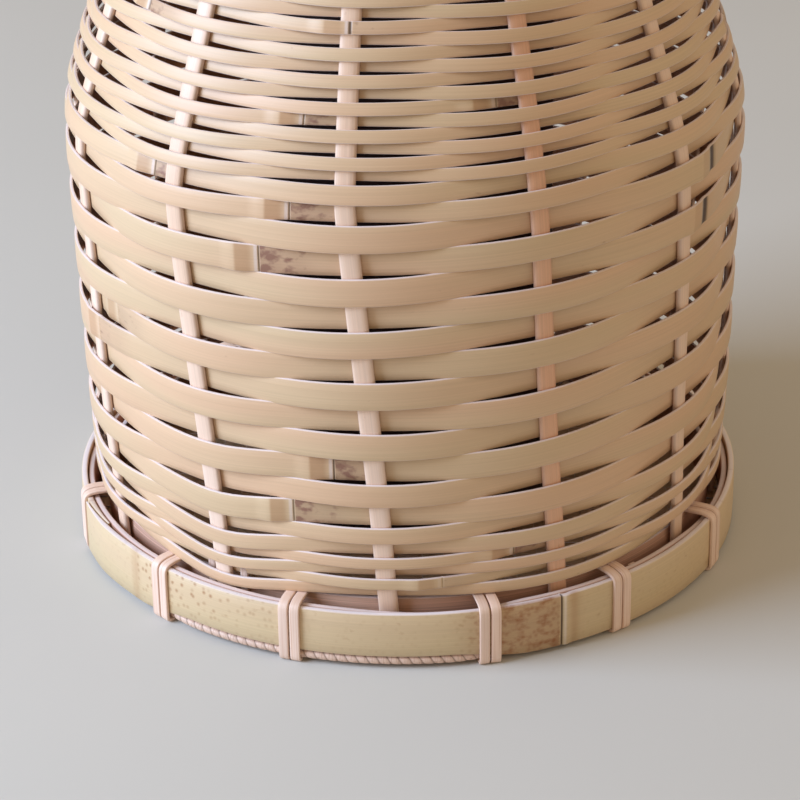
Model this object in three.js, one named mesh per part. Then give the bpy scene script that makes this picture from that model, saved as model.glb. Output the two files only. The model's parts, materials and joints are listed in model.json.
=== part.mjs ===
// A round bamboo flower basket: twelve upright stakes, a woven wall of two weavers that chase
// each other up the stakes, a foot ring and a mouth rim lashed with rattan, and a loose water tube.
// Millimetres, +Z up, origin on the ground at the middle of the foot.

import * as THREE from 'three';

// Woven wall, measured at the middle of its thickness
const wallBaseRadius = 81;
const wallLeanAngle = 2;
const shoulderHeight = 119.7;
const shoulderBendLength = 4;
const shoulderAngle = 19.8;
const collarHeight = 14;
const neckBendLength = 5;

// Stakes
const stakeCount = 12;
const stakeWidth = 4.6;
const stakeThickness = 1.6;
const stakeEdgeThickness = 0.9;
const frontStakeAngle = -93;
const stakeTwistAngle = -6.2;
// Where a stake is bent, in bend lengths from the middle of the bend
const stakeBendRatios = [-3, -1.5, 0, 1.5, 3];

// Weavers: the rise of one row in each zone, and how many turns each zone has
const footRowRise = 2.9;
const bodyRowRise = 6.75;
const shoulderRowRise = 2.86;
const tailTaperTurns = 0.3;
const taperTurns = 2;
const footTurns = 1.55;
const bodyTurns = 4.5;
const shoulderTurns = 12.65;
const lowerBodyTurns = 3;
const shoulderLengths = 3;
const weaverThickness = 0.8;
const rowGap = 0.3;
const tailWidth = 0.3;
const tailTurns = 0.2;

// Foot ring
const footBandHeight = 11.7;
const footBandThickness = 1.6;
const fillerBandDrop = 1.1;
const fillerBandThickness = 1.5;
const innerBandThickness = 1.5;
const footLedge = 1.3;
const hoopWidth = 6;
const hoopHeight = 2.2;
const baseMatThickness = 1.4;
const weaveBottom = 17;

// Mouth rim
const rimBandHeight = 10;
const rimBandThickness = 1.6;
const rimCoverThickness = 1.6;

// Rattan lashings
const lashingWidth = 2.6;
const lashingThickness = 0.6;
const lashingTurns = 2;
const lashingTurnGap = 0.45;
const lashingCorner = 0.35;
const lashingSlack = 0.4;
// How far in degrees each lashing of the foot was tied from the middle between two stakes
const footLashingDriftAngles = [1.5, -4.6, -7.5, 3.1, 3.3, -1];

// Scarf joint of the foot band and the rim band
const scarfAngle = 9;
const scarfTip = 0.5;
const footScarfLashing = 9;
const buttGap = 0.5;

// Water tube
const waterTubeRadius = 38;
const waterTubeHeight = 175;
const waterTubeWall = 2;
const waterTubeFloor = 3;

// Fits and facets
const clearance = 0.3;
const stakeClearance = 0.45;
const bandFacets = 48;
const tubeFacets = 32;

// Colours
const bambooSkin = { color: 0xd8b384, roughness: 0.5, metalness: 0 };
const peeledBamboo = { color: 0xd9b79d, roughness: 0.6, metalness: 0 };
const footBamboo = { color: 0xd3b67c, roughness: 0.45, metalness: 0 };
const rattan = { color: 0xe3cbaf, roughness: 0.55, metalness: 0 };
const blackPlastic = { color: 0x1c1a19, roughness: 0.4, metalness: 0 };

const { degToRad, lerp, clamp, RAD2DEG } = THREE.MathUtils;
const gapAngle = 360 / stakeCount;
const basket = new THREE.Group();

function addPiece(name, geometry, finish) {
  const mesh = new THREE.Mesh(geometry, new THREE.MeshStandardMaterial(finish));
  mesh.name = name;
  basket.add(mesh);
  return mesh;
}

function twoDigits(number) {
  return String(number).padStart(2, '0');
}

// A solid through a row of sections, each a ring of points running right-handed about the way
// of travel. An open row is closed by a flat end at either side.
function sweptSolid(sections, closed = false) {
  const sides = sections[0].length;
  const index = [];
  const steps = closed ? sections.length : sections.length - 1;
  for (let step = 0; step < steps; step++) {
    const here = step * sides;
    const next = ((step + 1) % sections.length) * sides;
    for (let side = 0; side < sides; side++) {
      const beside = (side + 1) % sides;
      index.push(here + side, here + beside, next + beside);
      index.push(here + side, next + beside, next + side);
    }
  }
  if (!closed) {
    const last = (sections.length - 1) * sides;
    for (let side = 1; side < sides - 1; side++) {
      index.push(0, side + 1, side);
      index.push(last, last + side, last + side + 1);
    }
  }
  const geometry = new THREE.BufferGeometry().setFromPoints(sections.flat());
  geometry.setIndex(index);
  return geometry;
}

function aroundAxis(radius, angle, height) {
  const turn = degToRad(angle);
  return new THREE.Vector3(radius * Math.cos(turn), radius * Math.sin(turn), height);
}

// Rows of the weave. The two weavers lie on each other in turn, so a weaver rests two rows above
// where it was one turn before. It starts and ends as a thin tail, which keeps both edges level.
const rowKnots = [
  { turns: tailTaperTurns, from: 0, to: footRowRise },
  { turns: footTurns, from: footRowRise, to: footRowRise },
  { turns: taperTurns, from: footRowRise, to: bodyRowRise },
  { turns: bodyTurns, from: bodyRowRise, to: bodyRowRise },
  { turns: taperTurns, from: bodyRowRise, to: shoulderRowRise },
  { turns: shoulderTurns, from: shoulderRowRise, to: shoulderRowRise },
  { turns: tailTaperTurns, from: shoulderRowRise, to: 0 },
];
const allTurns = rowKnots.reduce((sum, knot) => sum + knot.turns, 0);

function rowRise(turn) {
  let left = turn;
  for (const knot of rowKnots) {
    if (left <= knot.turns) {
      return lerp(knot.from, knot.to, left / knot.turns);
    }
    left -= knot.turns;
  }
  return 0;
}

function restHeight(turn) {
  const wholeTurns = Math.floor(turn);
  let height = weaveBottom;
  for (let lap = 0; lap < wholeTurns; lap++) {
    height += 2 * rowRise(turn - wholeTurns + lap);
  }
  return height;
}

// Wall outline: a cone that opens slightly, bends in at the shoulder and upright again at the neck
const weaveTop = restHeight(allTurns);
const neckHeight = weaveTop - collarHeight;
const leanSlope = Math.tan(degToRad(wallLeanAngle));
const shoulderSlope = Math.tan(degToRad(shoulderAngle));

function softBend(distance, bendLength) {
  return bendLength * Math.log1p(Math.exp(distance / bendLength));
}

function softBendSlope(distance, bendLength) {
  return 1 / (1 + Math.exp(-distance / bendLength));
}

function wallRadius(height) {
  const shoulder = softBend(height - shoulderHeight, shoulderBendLength);
  const neck = softBend(height - neckHeight, neckBendLength);
  return wallBaseRadius + leanSlope * height - (leanSlope + shoulderSlope) * shoulder + shoulderSlope * neck;
}

function wallSlope(height) {
  const shoulder = softBendSlope(height - shoulderHeight, shoulderBendLength);
  const neck = softBendSlope(height - neckHeight, neckBendLength);
  return leanSlope - (leanSlope + shoulderSlope) * shoulder + shoulderSlope * neck;
}

// A point by the wall: so far out square to it, and so far along to the side
function wallPoint(height, angle, out, side = 0) {
  const slope = wallSlope(height);
  const length = Math.hypot(1, slope);
  const point = aroundAxis(wallRadius(height) + out / length, angle, height - (out * slope) / length);
  return point.add(aroundAxis(side, angle + 90, 0));
}

// Angle at a height of a place counted in stake gaps from the front stake
function stakeAngle(gaps, height) {
  const twist = stakeTwistAngle * clamp(height / shoulderHeight, 0, 1);
  return frontStakeAngle + gaps * gapAngle + twist;
}

// Levels of the foot ring, from the ground up
const hoopLow = lashingThickness + clearance;
const hoopHigh = hoopLow + hoopHeight;
const bandLow = hoopHigh + clearance;
const footBandHigh = bandLow + footBandHeight;
const baseMatHigh = bandLow + baseMatThickness;
const stakeLow = baseMatHigh + clearance;
const innerBandHigh = weaveBottom - lashingThickness - 2 * clearance;

// Radii of the foot ring, from the stakes outwards and inwards
const fillerInnerRadius = wallRadius(footBandHigh) + stakeThickness / 2 + footLedge;
const footBandInnerRadius = fillerInnerRadius + fillerBandThickness + clearance;
const footBandOuterRadius = footBandInnerRadius + footBandThickness;
const innerBandInnerRadius = wallRadius(stakeLow) - stakeThickness / 2 - clearance - innerBandThickness;
const hoopInnerRadius = footBandOuterRadius - hoopWidth;
const baseMatRadius = fillerInnerRadius - clearance;

// Levels and radii of the mouth rim
const rimLow = weaveTop + lashingThickness + 2 * clearance;
const rimHigh = rimLow + rimBandHeight;
const rimCoverLow = rimHigh + clearance;
const rimCoverHigh = rimCoverLow + rimCoverThickness;
const rimBandInnerRadius = wallRadius(rimLow) + stakeThickness / 2 + clearance;
const rimBandOuterRadius = rimBandInnerRadius + rimBandThickness;
const rimInnerOuterRadius = wallRadius(rimHigh) - stakeThickness / 2 - clearance;
const rimInnerInnerRadius = rimInnerOuterRadius - rimBandThickness;

// Stakes: strips crowned on both faces, lined up close together where the wall bends
function bendHeights(height, bendLength) {
  return stakeBendRatios.map((ratio) => height + ratio * bendLength);
}

function stakeSolid(number) {
  const shoulderBend = bendHeights(shoulderHeight, shoulderBendLength);
  const neckBend = bendHeights(neckHeight, neckBendLength);
  const heights = [stakeLow, (stakeLow + shoulderHeight) / 2, ...shoulderBend, ...neckBend, rimHigh];
  const outline = [
    [stakeThickness / 2, 0],
    [stakeEdgeThickness / 2, stakeWidth / 2],
    [-stakeEdgeThickness / 2, stakeWidth / 2],
    [-stakeThickness / 2, 0],
    [-stakeEdgeThickness / 2, -stakeWidth / 2],
    [stakeEdgeThickness / 2, -stakeWidth / 2],
  ];
  const section = (height) => outline.map(
    ([out, side]) => wallPoint(height, stakeAngle(number, height), out, side),
  );
  return sweptSolid(heights.map(section));
}

for (let number = 0; number < stakeCount; number++) {
  addPiece(`stake_${twoDigits(number + 1)}`, stakeSolid(number), peeledBamboo);
}

// Weavers: each swings out round one stake and in behind the next, and starts at the back.
// Where two lengths of one weaver meet, the new length starts inside the old one, behind a stake.
const stakeCrown = (stakeThickness - stakeEdgeThickness) / 2;
const kinkFall = (stakeWidth / 2) * Math.tan(degToRad(gapAngle / 4));
const kinkAllowance = Math.max(0, kinkFall - stakeCrown);
const weaveSwing = stakeThickness / 2 + stakeClearance + kinkAllowance + weaverThickness / 2;
const spliceTuck = weaverThickness + clearance;
const backGaps = Math.floor(stakeCount / 2);
const halfGap = 0.5;

function weaverSection(weaver, gaps, tuck) {
  const turn = gaps / stakeCount;
  const rise = rowRise(turn);
  const low = restHeight(turn) + weaver.rowsUp * rise + rowGap / 2;
  const high = low + Math.max(rise - rowGap, tailWidth);
  const middle = weaver.swing * weaveSwing * Math.cos(gaps * Math.PI) - tuck;
  const outer = middle + weaverThickness / 2;
  const inner = middle - weaverThickness / 2;
  const corner = (height, out) => wallPoint(height, stakeAngle(gaps + backGaps, height), out);
  return [corner(high, outer), corner(low, outer), corner(low, inner), corner(high, inner)];
}

function weaverSolid(weaver, length) {
  const isFirst = length.from === 0;
  const isLast = length.to === allTurns;
  const splice = length.from * stakeCount + weaver.spliceGap;
  const first = isFirst ? Math.ceil(tailTurns * stakeCount) : splice - halfGap;
  const lastTail = Math.floor((allTurns - tailTurns) * stakeCount);
  const last = isLast ? lastTail : length.to * stakeCount + weaver.spliceGap + halfGap;
  const sections = [];
  for (let gaps = first; gaps <= last; gaps += halfGap) {
    const isTucked = !isFirst && gaps <= splice + halfGap;
    sections.push(weaverSection(weaver, gaps, isTucked ? spliceTuck : 0));
  }
  return sweptSolid(sections);
}

const weavers = [
  { letter: 'a', rowsUp: 1, swing: 1, spliceGap: 1 },
  { letter: 'b', rowsUp: 0, swing: -1, spliceGap: 0 },
];
const bodyStart = Math.floor(tailTaperTurns + footTurns + taperTurns);
const bodySplice = bodyStart + lowerBodyTurns;
const shoulderStart = Math.ceil(bodyStart + bodyTurns + taperTurns);
const weaverLengths = [
  { name: 'foot_weaver', from: 0, to: bodyStart },
  { name: 'lower_body_weaver', from: bodyStart, to: bodySplice },
  { name: 'upper_body_weaver', from: bodySplice, to: shoulderStart },
];

function shoulderSplice(number) {
  return Math.round(lerp(shoulderStart, allTurns, number / shoulderLengths));
}

for (let number = 1; number <= shoulderLengths; number++) {
  const to = number === shoulderLengths ? allTurns : shoulderSplice(number);
  weaverLengths.push({ name: `shoulder_weaver_${number}`, from: shoulderSplice(number - 1), to });
}

for (const length of weaverLengths) {
  for (const weaver of weavers) {
    addPiece(`${length.name}_${weaver.letter}`, weaverSolid(weaver, length), bambooSkin);
  }
}

// Bands: a strip bent round on edge
function bandSection(angle, low, high, inner, outer) {
  return [
    aroundAxis(outer, angle, high),
    aroundAxis(outer, angle, low),
    aroundAxis(inner, angle, low),
    aroundAxis(inner, angle, high),
  ];
}

function buttedBand(low, high, inner, thickness, startAngle) {
  const sections = [];
  const reach = 360 - (buttGap / inner) * RAD2DEG;
  for (let facet = 0; facet <= bandFacets; facet++) {
    const angle = startAngle + (reach * facet) / bandFacets;
    sections.push(bandSection(angle, low, high, inner, inner + thickness));
  }
  return sweptSolid(sections);
}

// A band whose two ends are pared down and laid over each other. It starts with the thin tip
// that lies outside, settles to its own radius, and ends with the thin tip underneath.
function scarfedBand(low, high, inner, thickness, startAngle) {
  const step = clearance + scarfTip;
  const places = [
    { angle: 0, out: thickness + clearance, thick: scarfTip },
    { angle: scarfAngle, out: step, thick: thickness },
    { angle: 2 * scarfAngle, out: 0, thick: thickness },
  ];
  const facets = Math.round((bandFacets * (360 - 2 * scarfAngle)) / 360);
  for (let facet = 1; facet <= facets; facet++) {
    places.push({ angle: lerp(2 * scarfAngle, 360, facet / facets), out: 0, thick: thickness });
  }
  places.push({ angle: 360 + scarfAngle, out: 0, thick: scarfTip });
  const sections = places.map(({ angle, out, thick }) => bandSection(
    startAngle + angle, low, high, inner + out, inner + out + thick,
  ));
  return sweptSolid(sections);
}

// Lashings: a flat strip wound twice round the bands, square to them
const lashingHalf = lashingThickness / 2;
const lashingTurnStep = lashingWidth + lashingTurnGap;
const lashingHalfSpan = (lashingTurns * lashingTurnStep + lashingWidth) / 2 + clearance;
const lashingOff = clearance + lashingHalf;

function windingSections(outline) {
  const perTurn = outline.length;
  const sections = [];
  for (let station = 0; station <= lashingTurns * perTurn; station++) {
    const before = outline[(station + perTurn - 1) % perTurn];
    const here = outline[station % perTurn];
    const after = outline[(station + 1) % perTurn];
    const normalIn = outwardNormal(before, here);
    const normalOut = outwardNormal(here, after);
    const mitre = normalIn.clone().add(normalOut).divideScalar(1 + normalIn.dot(normalOut));
    const half = mitre.multiplyScalar(lashingThickness / 2);
    const along = (station / perTurn - lashingTurns / 2) * lashingTurnStep;
    const corner = (side, face) => new THREE.Vector3(
      here.x + face * half.x, along + (side * lashingWidth) / 2, here.y + face * half.y,
    );
    sections.push([corner(1, 1), corner(-1, 1), corner(-1, -1), corner(1, -1)]);
  }
  return sections;
}

// The outline runs up the inside, over the top and down the outside, so its left is outwards
function outwardNormal(from, to) {
  const way = to.clone().sub(from).normalize();
  return new THREE.Vector2(-way.y, way.x);
}

function leastGapBetweenTurns(sections, perTurn) {
  let least = Infinity;
  for (let station = 0; station + perTurn < sections.length; station++) {
    const here = sections[station];
    const nextTurn = sections[station + perTurn];
    least = Math.min(least, here[0].distanceTo(nextTurn[1]), here[3].distanceTo(nextTurn[2]));
  }
  return least;
}

function addLashing(name, outline, angle) {
  const sections = windingSections(outline);
  const piece = addPiece(name, sweptSolid(sections), rattan);
  piece.rotation.z = degToRad(angle);
  return leastGapBetweenTurns(sections, outline.length);
}

function middleBetweenStakes(number, height) {
  return stakeAngle(number + halfGap, height);
}

// Foot ring
const footLashingInner = innerBandInnerRadius - lashingSlack - lashingOff;
const footLashingOuter = footBandOuterRadius + lashingOff;
const footLashingTop = footBandHigh + lashingOff;
const underWeaveRadius = wallRadius(weaveBottom) + weaveSwing + weaverThickness / 2 + lashingOff;
const underWeaveHeight = innerBandHigh + lashingOff;
const footLashingOutline = [
  new THREE.Vector2(footLashingInner, (stakeLow + innerBandHigh) / 2),
  new THREE.Vector2(footLashingInner, underWeaveHeight),
  new THREE.Vector2(underWeaveRadius, underWeaveHeight),
  new THREE.Vector2(footLashingOuter - lashingCorner, footLashingTop),
  new THREE.Vector2(footLashingOuter, footLashingTop - lashingCorner),
  new THREE.Vector2(footLashingOuter, lashingHalf + lashingCorner),
  new THREE.Vector2(footLashingOuter - lashingCorner, lashingHalf),
  new THREE.Vector2(hoopInnerRadius - lashingOff, lashingHalf),
  new THREE.Vector2(footLashingInner, hoopHigh - lashingOff),
];

function footLashingAngle(number) {
  const drift = footLashingDriftAngles[number % footLashingDriftAngles.length];
  return middleBetweenStakes(number, footBandHigh) + drift;
}

const lashingGaps = [];
for (let number = 0; number < stakeCount; number++) {
  const name = `foot_lashing_${twoDigits(number + 1)}`;
  lashingGaps.push(addLashing(name, footLashingOutline, footLashingAngle(number)));
}

// The outer tip of a scarf ends right beside a lashing
function besideLashing(angle, radius) {
  return angle + (lashingHalfSpan / radius) * RAD2DEG;
}

const footScarfAngle = besideLashing(footLashingAngle(footScarfLashing), footBandOuterRadius);
const footBand = scarfedBand(bandLow, footBandHigh, footBandInnerRadius, footBandThickness, footScarfAngle);
addPiece('foot_band', footBand, footBamboo);

const fillerHigh = footBandHigh - fillerBandDrop;
const backAngle = frontStakeAngle + 180;
const fillerBand = buttedBand(bandLow, fillerHigh, fillerInnerRadius, fillerBandThickness, backAngle);
addPiece('foot_filler_band', fillerBand, peeledBamboo);

const innerBand = buttedBand(stakeLow, innerBandHigh, innerBandInnerRadius, innerBandThickness, backAngle);
addPiece('foot_inner_band', innerBand, peeledBamboo);

// A closed ring with cut corners, flat above and below
function roundedRing(low, high, inner, outer, corner) {
  const outline = [
    [outer, high - corner], [outer, low + corner], [outer - corner, low], [inner + corner, low],
    [inner, low + corner], [inner, high - corner], [inner + corner, high], [outer - corner, high],
  ];
  const sections = [];
  for (let facet = 0; facet < bandFacets; facet++) {
    const angle = (360 * facet) / bandFacets;
    sections.push(outline.map(([radius, height]) => aroundAxis(radius, angle, height)));
  }
  return sweptSolid(sections, true);
}

const hoopCorner = hoopHeight / 4;
const footHoop = roundedRing(hoopLow, hoopHigh, hoopInnerRadius, footBandOuterRadius, hoopCorner);
addPiece('foot_hoop', footHoop, rattan);

// Base mat: a disc held between the hoop and the stakes, with a slot for each lashing
function baseMatSolid() {
  const disc = new THREE.Shape().absarc(0, 0, baseMatRadius, 0, 2 * Math.PI);
  const slotCorners = [
    [footLashingInner - lashingOff, -lashingHalfSpan],
    [footLashingInner + lashingOff, -lashingHalfSpan],
    [footLashingInner + lashingOff, lashingHalfSpan],
    [footLashingInner - lashingOff, lashingHalfSpan],
  ];
  const middle = new THREE.Vector2(0, 0);
  for (let number = 0; number < stakeCount; number++) {
    const turn = degToRad(footLashingAngle(number));
    const corners = slotCorners.map(([out, side]) => new THREE.Vector2(out, side).rotateAround(middle, turn));
    disc.holes.push(new THREE.Path(corners));
  }
  const options = { depth: baseMatThickness, bevelEnabled: false, curveSegments: bandFacets / 2 };
  return new THREE.ExtrudeGeometry(disc, options).translate(0, 0, bandLow);
}

addPiece('base_mat', baseMatSolid(), bambooSkin);

// Mouth rim
const rimLashingInner = rimInnerInnerRadius - lashingSlack - lashingOff;
const rimLashingOuter = rimBandOuterRadius + lashingOff;
const rimLashingTop = rimCoverHigh + lashingOff;
const rimLashingLow = rimLow - lashingOff;
const rimLashingOutline = [
  new THREE.Vector2(rimLashingInner, (rimLow + rimHigh) / 2),
  new THREE.Vector2(rimLashingInner, rimLashingTop - lashingCorner),
  new THREE.Vector2(rimLashingInner + lashingCorner, rimLashingTop),
  new THREE.Vector2(rimLashingOuter - lashingCorner, rimLashingTop),
  new THREE.Vector2(rimLashingOuter, rimLashingTop - lashingCorner),
  new THREE.Vector2(rimLashingOuter, rimLashingLow),
  new THREE.Vector2(rimLashingInner, rimLashingLow),
];

for (let number = 0; number < stakeCount; number++) {
  const name = `rim_lashing_${twoDigits(number + 1)}`;
  lashingGaps.push(addLashing(name, rimLashingOutline, middleBetweenStakes(number, rimLow)));
}
console.log(`least gap between the turns of a lashing: ${Math.min(...lashingGaps).toFixed(2)} mm`);

const rimScarfAngle = besideLashing(middleBetweenStakes(backGaps, rimLow), rimBandOuterRadius);
const rimBand = scarfedBand(rimLow, rimHigh, rimBandInnerRadius, rimBandThickness, rimScarfAngle);
addPiece('rim_outer_band', rimBand, footBamboo);

const rimInnerBand = buttedBand(rimLow, rimHigh, rimInnerInnerRadius, rimBandThickness, backAngle);
addPiece('rim_inner_band', rimInnerBand, peeledBamboo);

const coverCorner = rimCoverThickness / 3;
const rimCover = roundedRing(rimCoverLow, rimCoverHigh, rimInnerInnerRadius, rimBandOuterRadius, coverCorner);
addPiece('rim_cover', rimCover, bambooSkin);

// Water tube: a plain cup that stands loose on the base mat
function waterTubeSolid() {
  const inside = waterTubeRadius - waterTubeWall;
  const profile = [
    new THREE.Vector2(0, 0),
    new THREE.Vector2(waterTubeRadius, 0),
    new THREE.Vector2(waterTubeRadius, waterTubeHeight),
    new THREE.Vector2(inside, waterTubeHeight),
    new THREE.Vector2(inside, waterTubeFloor),
    new THREE.Vector2(0, waterTubeFloor),
  ];
  return new THREE.LatheGeometry(profile, tubeFacets).rotateX(Math.PI / 2);
}

const waterTube = addPiece('water_tube', waterTubeSolid(), blackPlastic);
waterTube.position.z = baseMatHigh + clearance;

export default basket;
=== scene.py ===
# %% [markdown]
# # A bamboo flower basket
# The basket is woven from split bamboo: twelve upright stakes, and two weavers that chase each
# other up them. Rattan holds the foot and the mouth together, and a dark cup for the water
# stands inside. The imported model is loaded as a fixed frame, and each of its plain solids is
# then replaced by a finer piece that sits in the same place.

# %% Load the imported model
import json
import math

import bpy
import numpy as np
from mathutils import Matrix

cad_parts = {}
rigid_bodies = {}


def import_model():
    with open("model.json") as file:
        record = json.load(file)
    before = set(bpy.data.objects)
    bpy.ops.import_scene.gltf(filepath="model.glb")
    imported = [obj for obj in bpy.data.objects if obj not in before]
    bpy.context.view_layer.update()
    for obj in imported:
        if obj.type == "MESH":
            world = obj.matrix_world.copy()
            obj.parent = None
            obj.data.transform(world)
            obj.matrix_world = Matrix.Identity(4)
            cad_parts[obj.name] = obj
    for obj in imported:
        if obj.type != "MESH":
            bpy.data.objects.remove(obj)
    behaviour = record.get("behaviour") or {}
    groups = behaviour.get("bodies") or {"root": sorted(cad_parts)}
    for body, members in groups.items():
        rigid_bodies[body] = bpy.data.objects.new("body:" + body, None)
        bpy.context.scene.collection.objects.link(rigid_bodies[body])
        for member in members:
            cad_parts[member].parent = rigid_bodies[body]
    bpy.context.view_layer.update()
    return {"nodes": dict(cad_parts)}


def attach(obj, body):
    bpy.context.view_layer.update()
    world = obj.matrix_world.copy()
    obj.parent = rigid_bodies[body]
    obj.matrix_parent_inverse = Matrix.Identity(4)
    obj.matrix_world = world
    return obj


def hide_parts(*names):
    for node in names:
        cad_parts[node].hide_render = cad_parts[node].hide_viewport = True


for leftover in list(bpy.data.objects):
    bpy.data.objects.remove(leftover)
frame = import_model()
scene = bpy.context.scene

# %% [markdown]
# ## Camera
# A photographer stood close to the basket with a long lens and looked down on its foot, so the
# neck is cut off by the top of the picture. The place of the lens was found by fitting the foot
# ring and the stakes, and the camera is set from three directions instead of angles: forwards,
# to the right and up, with the small tilt of a camera held by hand.

# %% Place the camera
MM = 0.001
LENS_PLACE = np.array([-1.83, -677.46, 361.8]) * MM
LENS_LENGTH = 127.66
SENSOR_WIDTH = 36.0
NEAREST_SEEN = 0.01
LOOK_DOWN = math.radians(26.074)
HAND_TILT = math.radians(-0.842)

forwards = np.array([0, math.cos(LOOK_DOWN), -math.sin(LOOK_DOWN)])
level_right = np.array([1.0, 0, 0])
level_up = np.cross(level_right, forwards)
picture_right = level_right * math.cos(HAND_TILT) + level_up * math.sin(HAND_TILT)
picture_up = level_up * math.cos(HAND_TILT) - level_right * math.sin(HAND_TILT)
camera_matrix = np.eye(4)
camera_matrix[:3] = np.stack([picture_right, picture_up, -forwards, LENS_PLACE], axis=1)

lens = bpy.data.cameras.new("photo_camera")
lens.lens = LENS_LENGTH
lens.sensor_width = SENSOR_WIDTH
lens.clip_start = NEAREST_SEEN
camera = bpy.data.objects.new("photo_camera", lens)
camera.matrix_world = camera_matrix.T.tolist()
scene.collection.objects.link(camera)
scene.camera = camera
print("camera", round(float(np.linalg.norm(LENS_PLACE)), 3), "m from the foot")

# %% [markdown]
# ## Rows of the weave
# The strips are narrow at the foot, wide on the body and narrow again on the shoulder. The height
# of each row could be listed one by one. A table of a few turns with straight lines between them
# says the same, lets the rows widen slowly, and gives the height of the whole weave.

# %% Rows of the weave
# All lengths from here on are in millimetres
WEAVE_BOTTOM = 17.0
# The rise of one row at these turns of the weave
ROW_TURNS = np.array([0, 0.3, 1.85, 3.85, 8.35, 10.35, 23, 23.3])
ROW_RISES = np.array([0, 2.9, 2.9, 6.75, 6.75, 2.86, 2.86, 0])
ALL_TURNS = ROW_TURNS[-1]


def row_rise(turn):
    """Height of one row: straight lines between the known turns."""
    return np.interp(turn, ROW_TURNS, ROW_RISES)


def rest_height(turn):
    """Height a weaver rests at: two rows for each whole turn below it, one of either weaver."""
    whole = np.floor(turn)
    laps = np.arange(math.ceil(ALL_TURNS))[:, None]
    rises = row_rise(turn - whole + laps)
    return WEAVE_BOTTOM + 2 * np.where(laps < whole, rises, 0).sum(axis=0)


WEAVE_TOP = float(rest_height(np.array([ALL_TURNS]))[0])
print("weave from", WEAVE_BOTTOM, "to", round(WEAVE_TOP, 1), "mm")

# %% [markdown]
# ## The wall that everything follows
# The basket is nearly a cylinder that opens a little, bends in at the shoulder and stands up
# again at the neck. It could be drawn as a curve and spun, but every strip has to follow it, so
# it is a formula: straight lines joined by soft bends. A soft bend is the curve ln(1 + e^x),
# which is flat before its middle and a straight line after it.

# %% Wall outline
WALL_BASE_RADIUS = 81.0
WALL_LEAN = math.tan(math.radians(2.0))
SHOULDER_HEIGHT = 119.7
SHOULDER_BEND = 4.0
SHOULDER_LEAN = math.tan(math.radians(19.8))
COLLAR_HEIGHT = 14.0
NECK_BEND = 5.0
NECK_HEIGHT = WEAVE_TOP - COLLAR_HEIGHT


def soft_bend(distance, length):
    """length * ln(1 + e^(distance / length)): flat before the bend, a straight line after it."""
    return length * np.logaddexp(0, distance / length)


def soft_slope(distance, length):
    """Slope of soft_bend: it grows from 0 to 1 through the bend."""
    return (1 + np.tanh(distance / (2 * length))) / 2


def wall_radius(height):
    """Base radius plus the lean, less the shoulder's bend, plus the neck's bend."""
    shoulder = soft_bend(height - SHOULDER_HEIGHT, SHOULDER_BEND)
    neck = soft_bend(height - NECK_HEIGHT, NECK_BEND)
    lower = WALL_BASE_RADIUS + WALL_LEAN * height
    return lower - (WALL_LEAN + SHOULDER_LEAN) * shoulder + SHOULDER_LEAN * neck


def wall_slope(height):
    """How much the radius grows with each millimetre of height."""
    shoulder = soft_slope(height - SHOULDER_HEIGHT, SHOULDER_BEND)
    neck = soft_slope(height - NECK_HEIGHT, NECK_BEND)
    return WALL_LEAN - (WALL_LEAN + SHOULDER_LEAN) * shoulder + SHOULDER_LEAN * neck


print("mouth radius", round(float(wall_radius(WEAVE_TOP)), 1), "mm")

# %% [markdown]
# Twelve stakes stand at equal angles round the axis and lean a little to the left. Every piece
# needs a direction out of the axis at some angle, and many things come and go softly. Blender's
# own vectors do one point at a time, so these small helpers take whole arrays of angles.

# %% Directions round the axis
STAKES = 12
GAP_ANGLE = 360 / STAKES
FRONT_STAKE_ANGLE = -93.0
STAKE_TWIST = -6.2
UPRIGHT = np.array([0, 0, 1.0])


def fade(value, start, end):
    """0 before start, 1 after end, and a smooth 3x^2 - 2x^3 between."""
    x = np.clip((value - start) / (end - start), 0, 1)
    return x * x * (3 - 2 * x)


def half_turn(angle):
    """An angle in degrees brought between -180 and 180."""
    return (angle + 180) % 360 - 180


def direction(angle):
    """Unit vector that points level out of the axis at an angle in degrees."""
    turn = np.radians(angle)
    return np.stack([np.cos(turn), np.sin(turn), np.zeros_like(turn)], axis=-1)


def stake_angle(gaps, height):
    """Angle of a place counted in stake gaps from the front stake; the stakes lean to the left."""
    twist = STAKE_TWIST * np.clip(height / SHOULDER_HEIGHT, 0, 1)
    return FRONT_STAKE_ANGLE + gaps * GAP_ANGLE + twist


print("a stake every", GAP_ANGLE, "degrees")

# %% [markdown]
# A hand-woven wall is never quite even: the rows of the body hang lower at the left than at the
# right, the lowest ones sag between two lashings, and nothing runs quite straight. A little
# waviness, the same for all that passes a place, takes the machine look away without pushing one
# strip into another. It fades out at the mouth, where bands hold everything in line.

# %% Unevenness of the wall
# Unevenness, and the heights between which it sets in and ends
WANDER_UP, WANDER_OUT = 0.28, 0.3
WANDER_STARTS, WANDER_ENDS = (20, 45), (WEAVE_TOP - 25, WEAVE_TOP - 4)
ROW_TILT, TILT_TOWARDS = 1.7, math.radians(-3)
TILT_STARTS, TILT_ENDS = (14, 36), (SHOULDER_HEIGHT, SHOULDER_HEIGHT + 40)
SAG_DEPTH, SAG_ANGLE, SAG_SPREAD = 2.2, -123.0, 9.0
SAG_ENDS = (25, 70)
# Waves round the basket, height in which they drift by a radian, where they start, their share
UP_WAVES = ((3, 23, 0, 1.0), (7, -11, 1, 0.7))
OUT_WAVES = ((2, -31, 2, 1.0), (5, 17, 0, 0.6))


def waves(table, turn, height):
    """Sum of sines round the wall, each turned a little further with the height."""
    return sum(share * np.sin(count * turn + height / drift + start)
               for count, drift, start, share in table)


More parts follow.
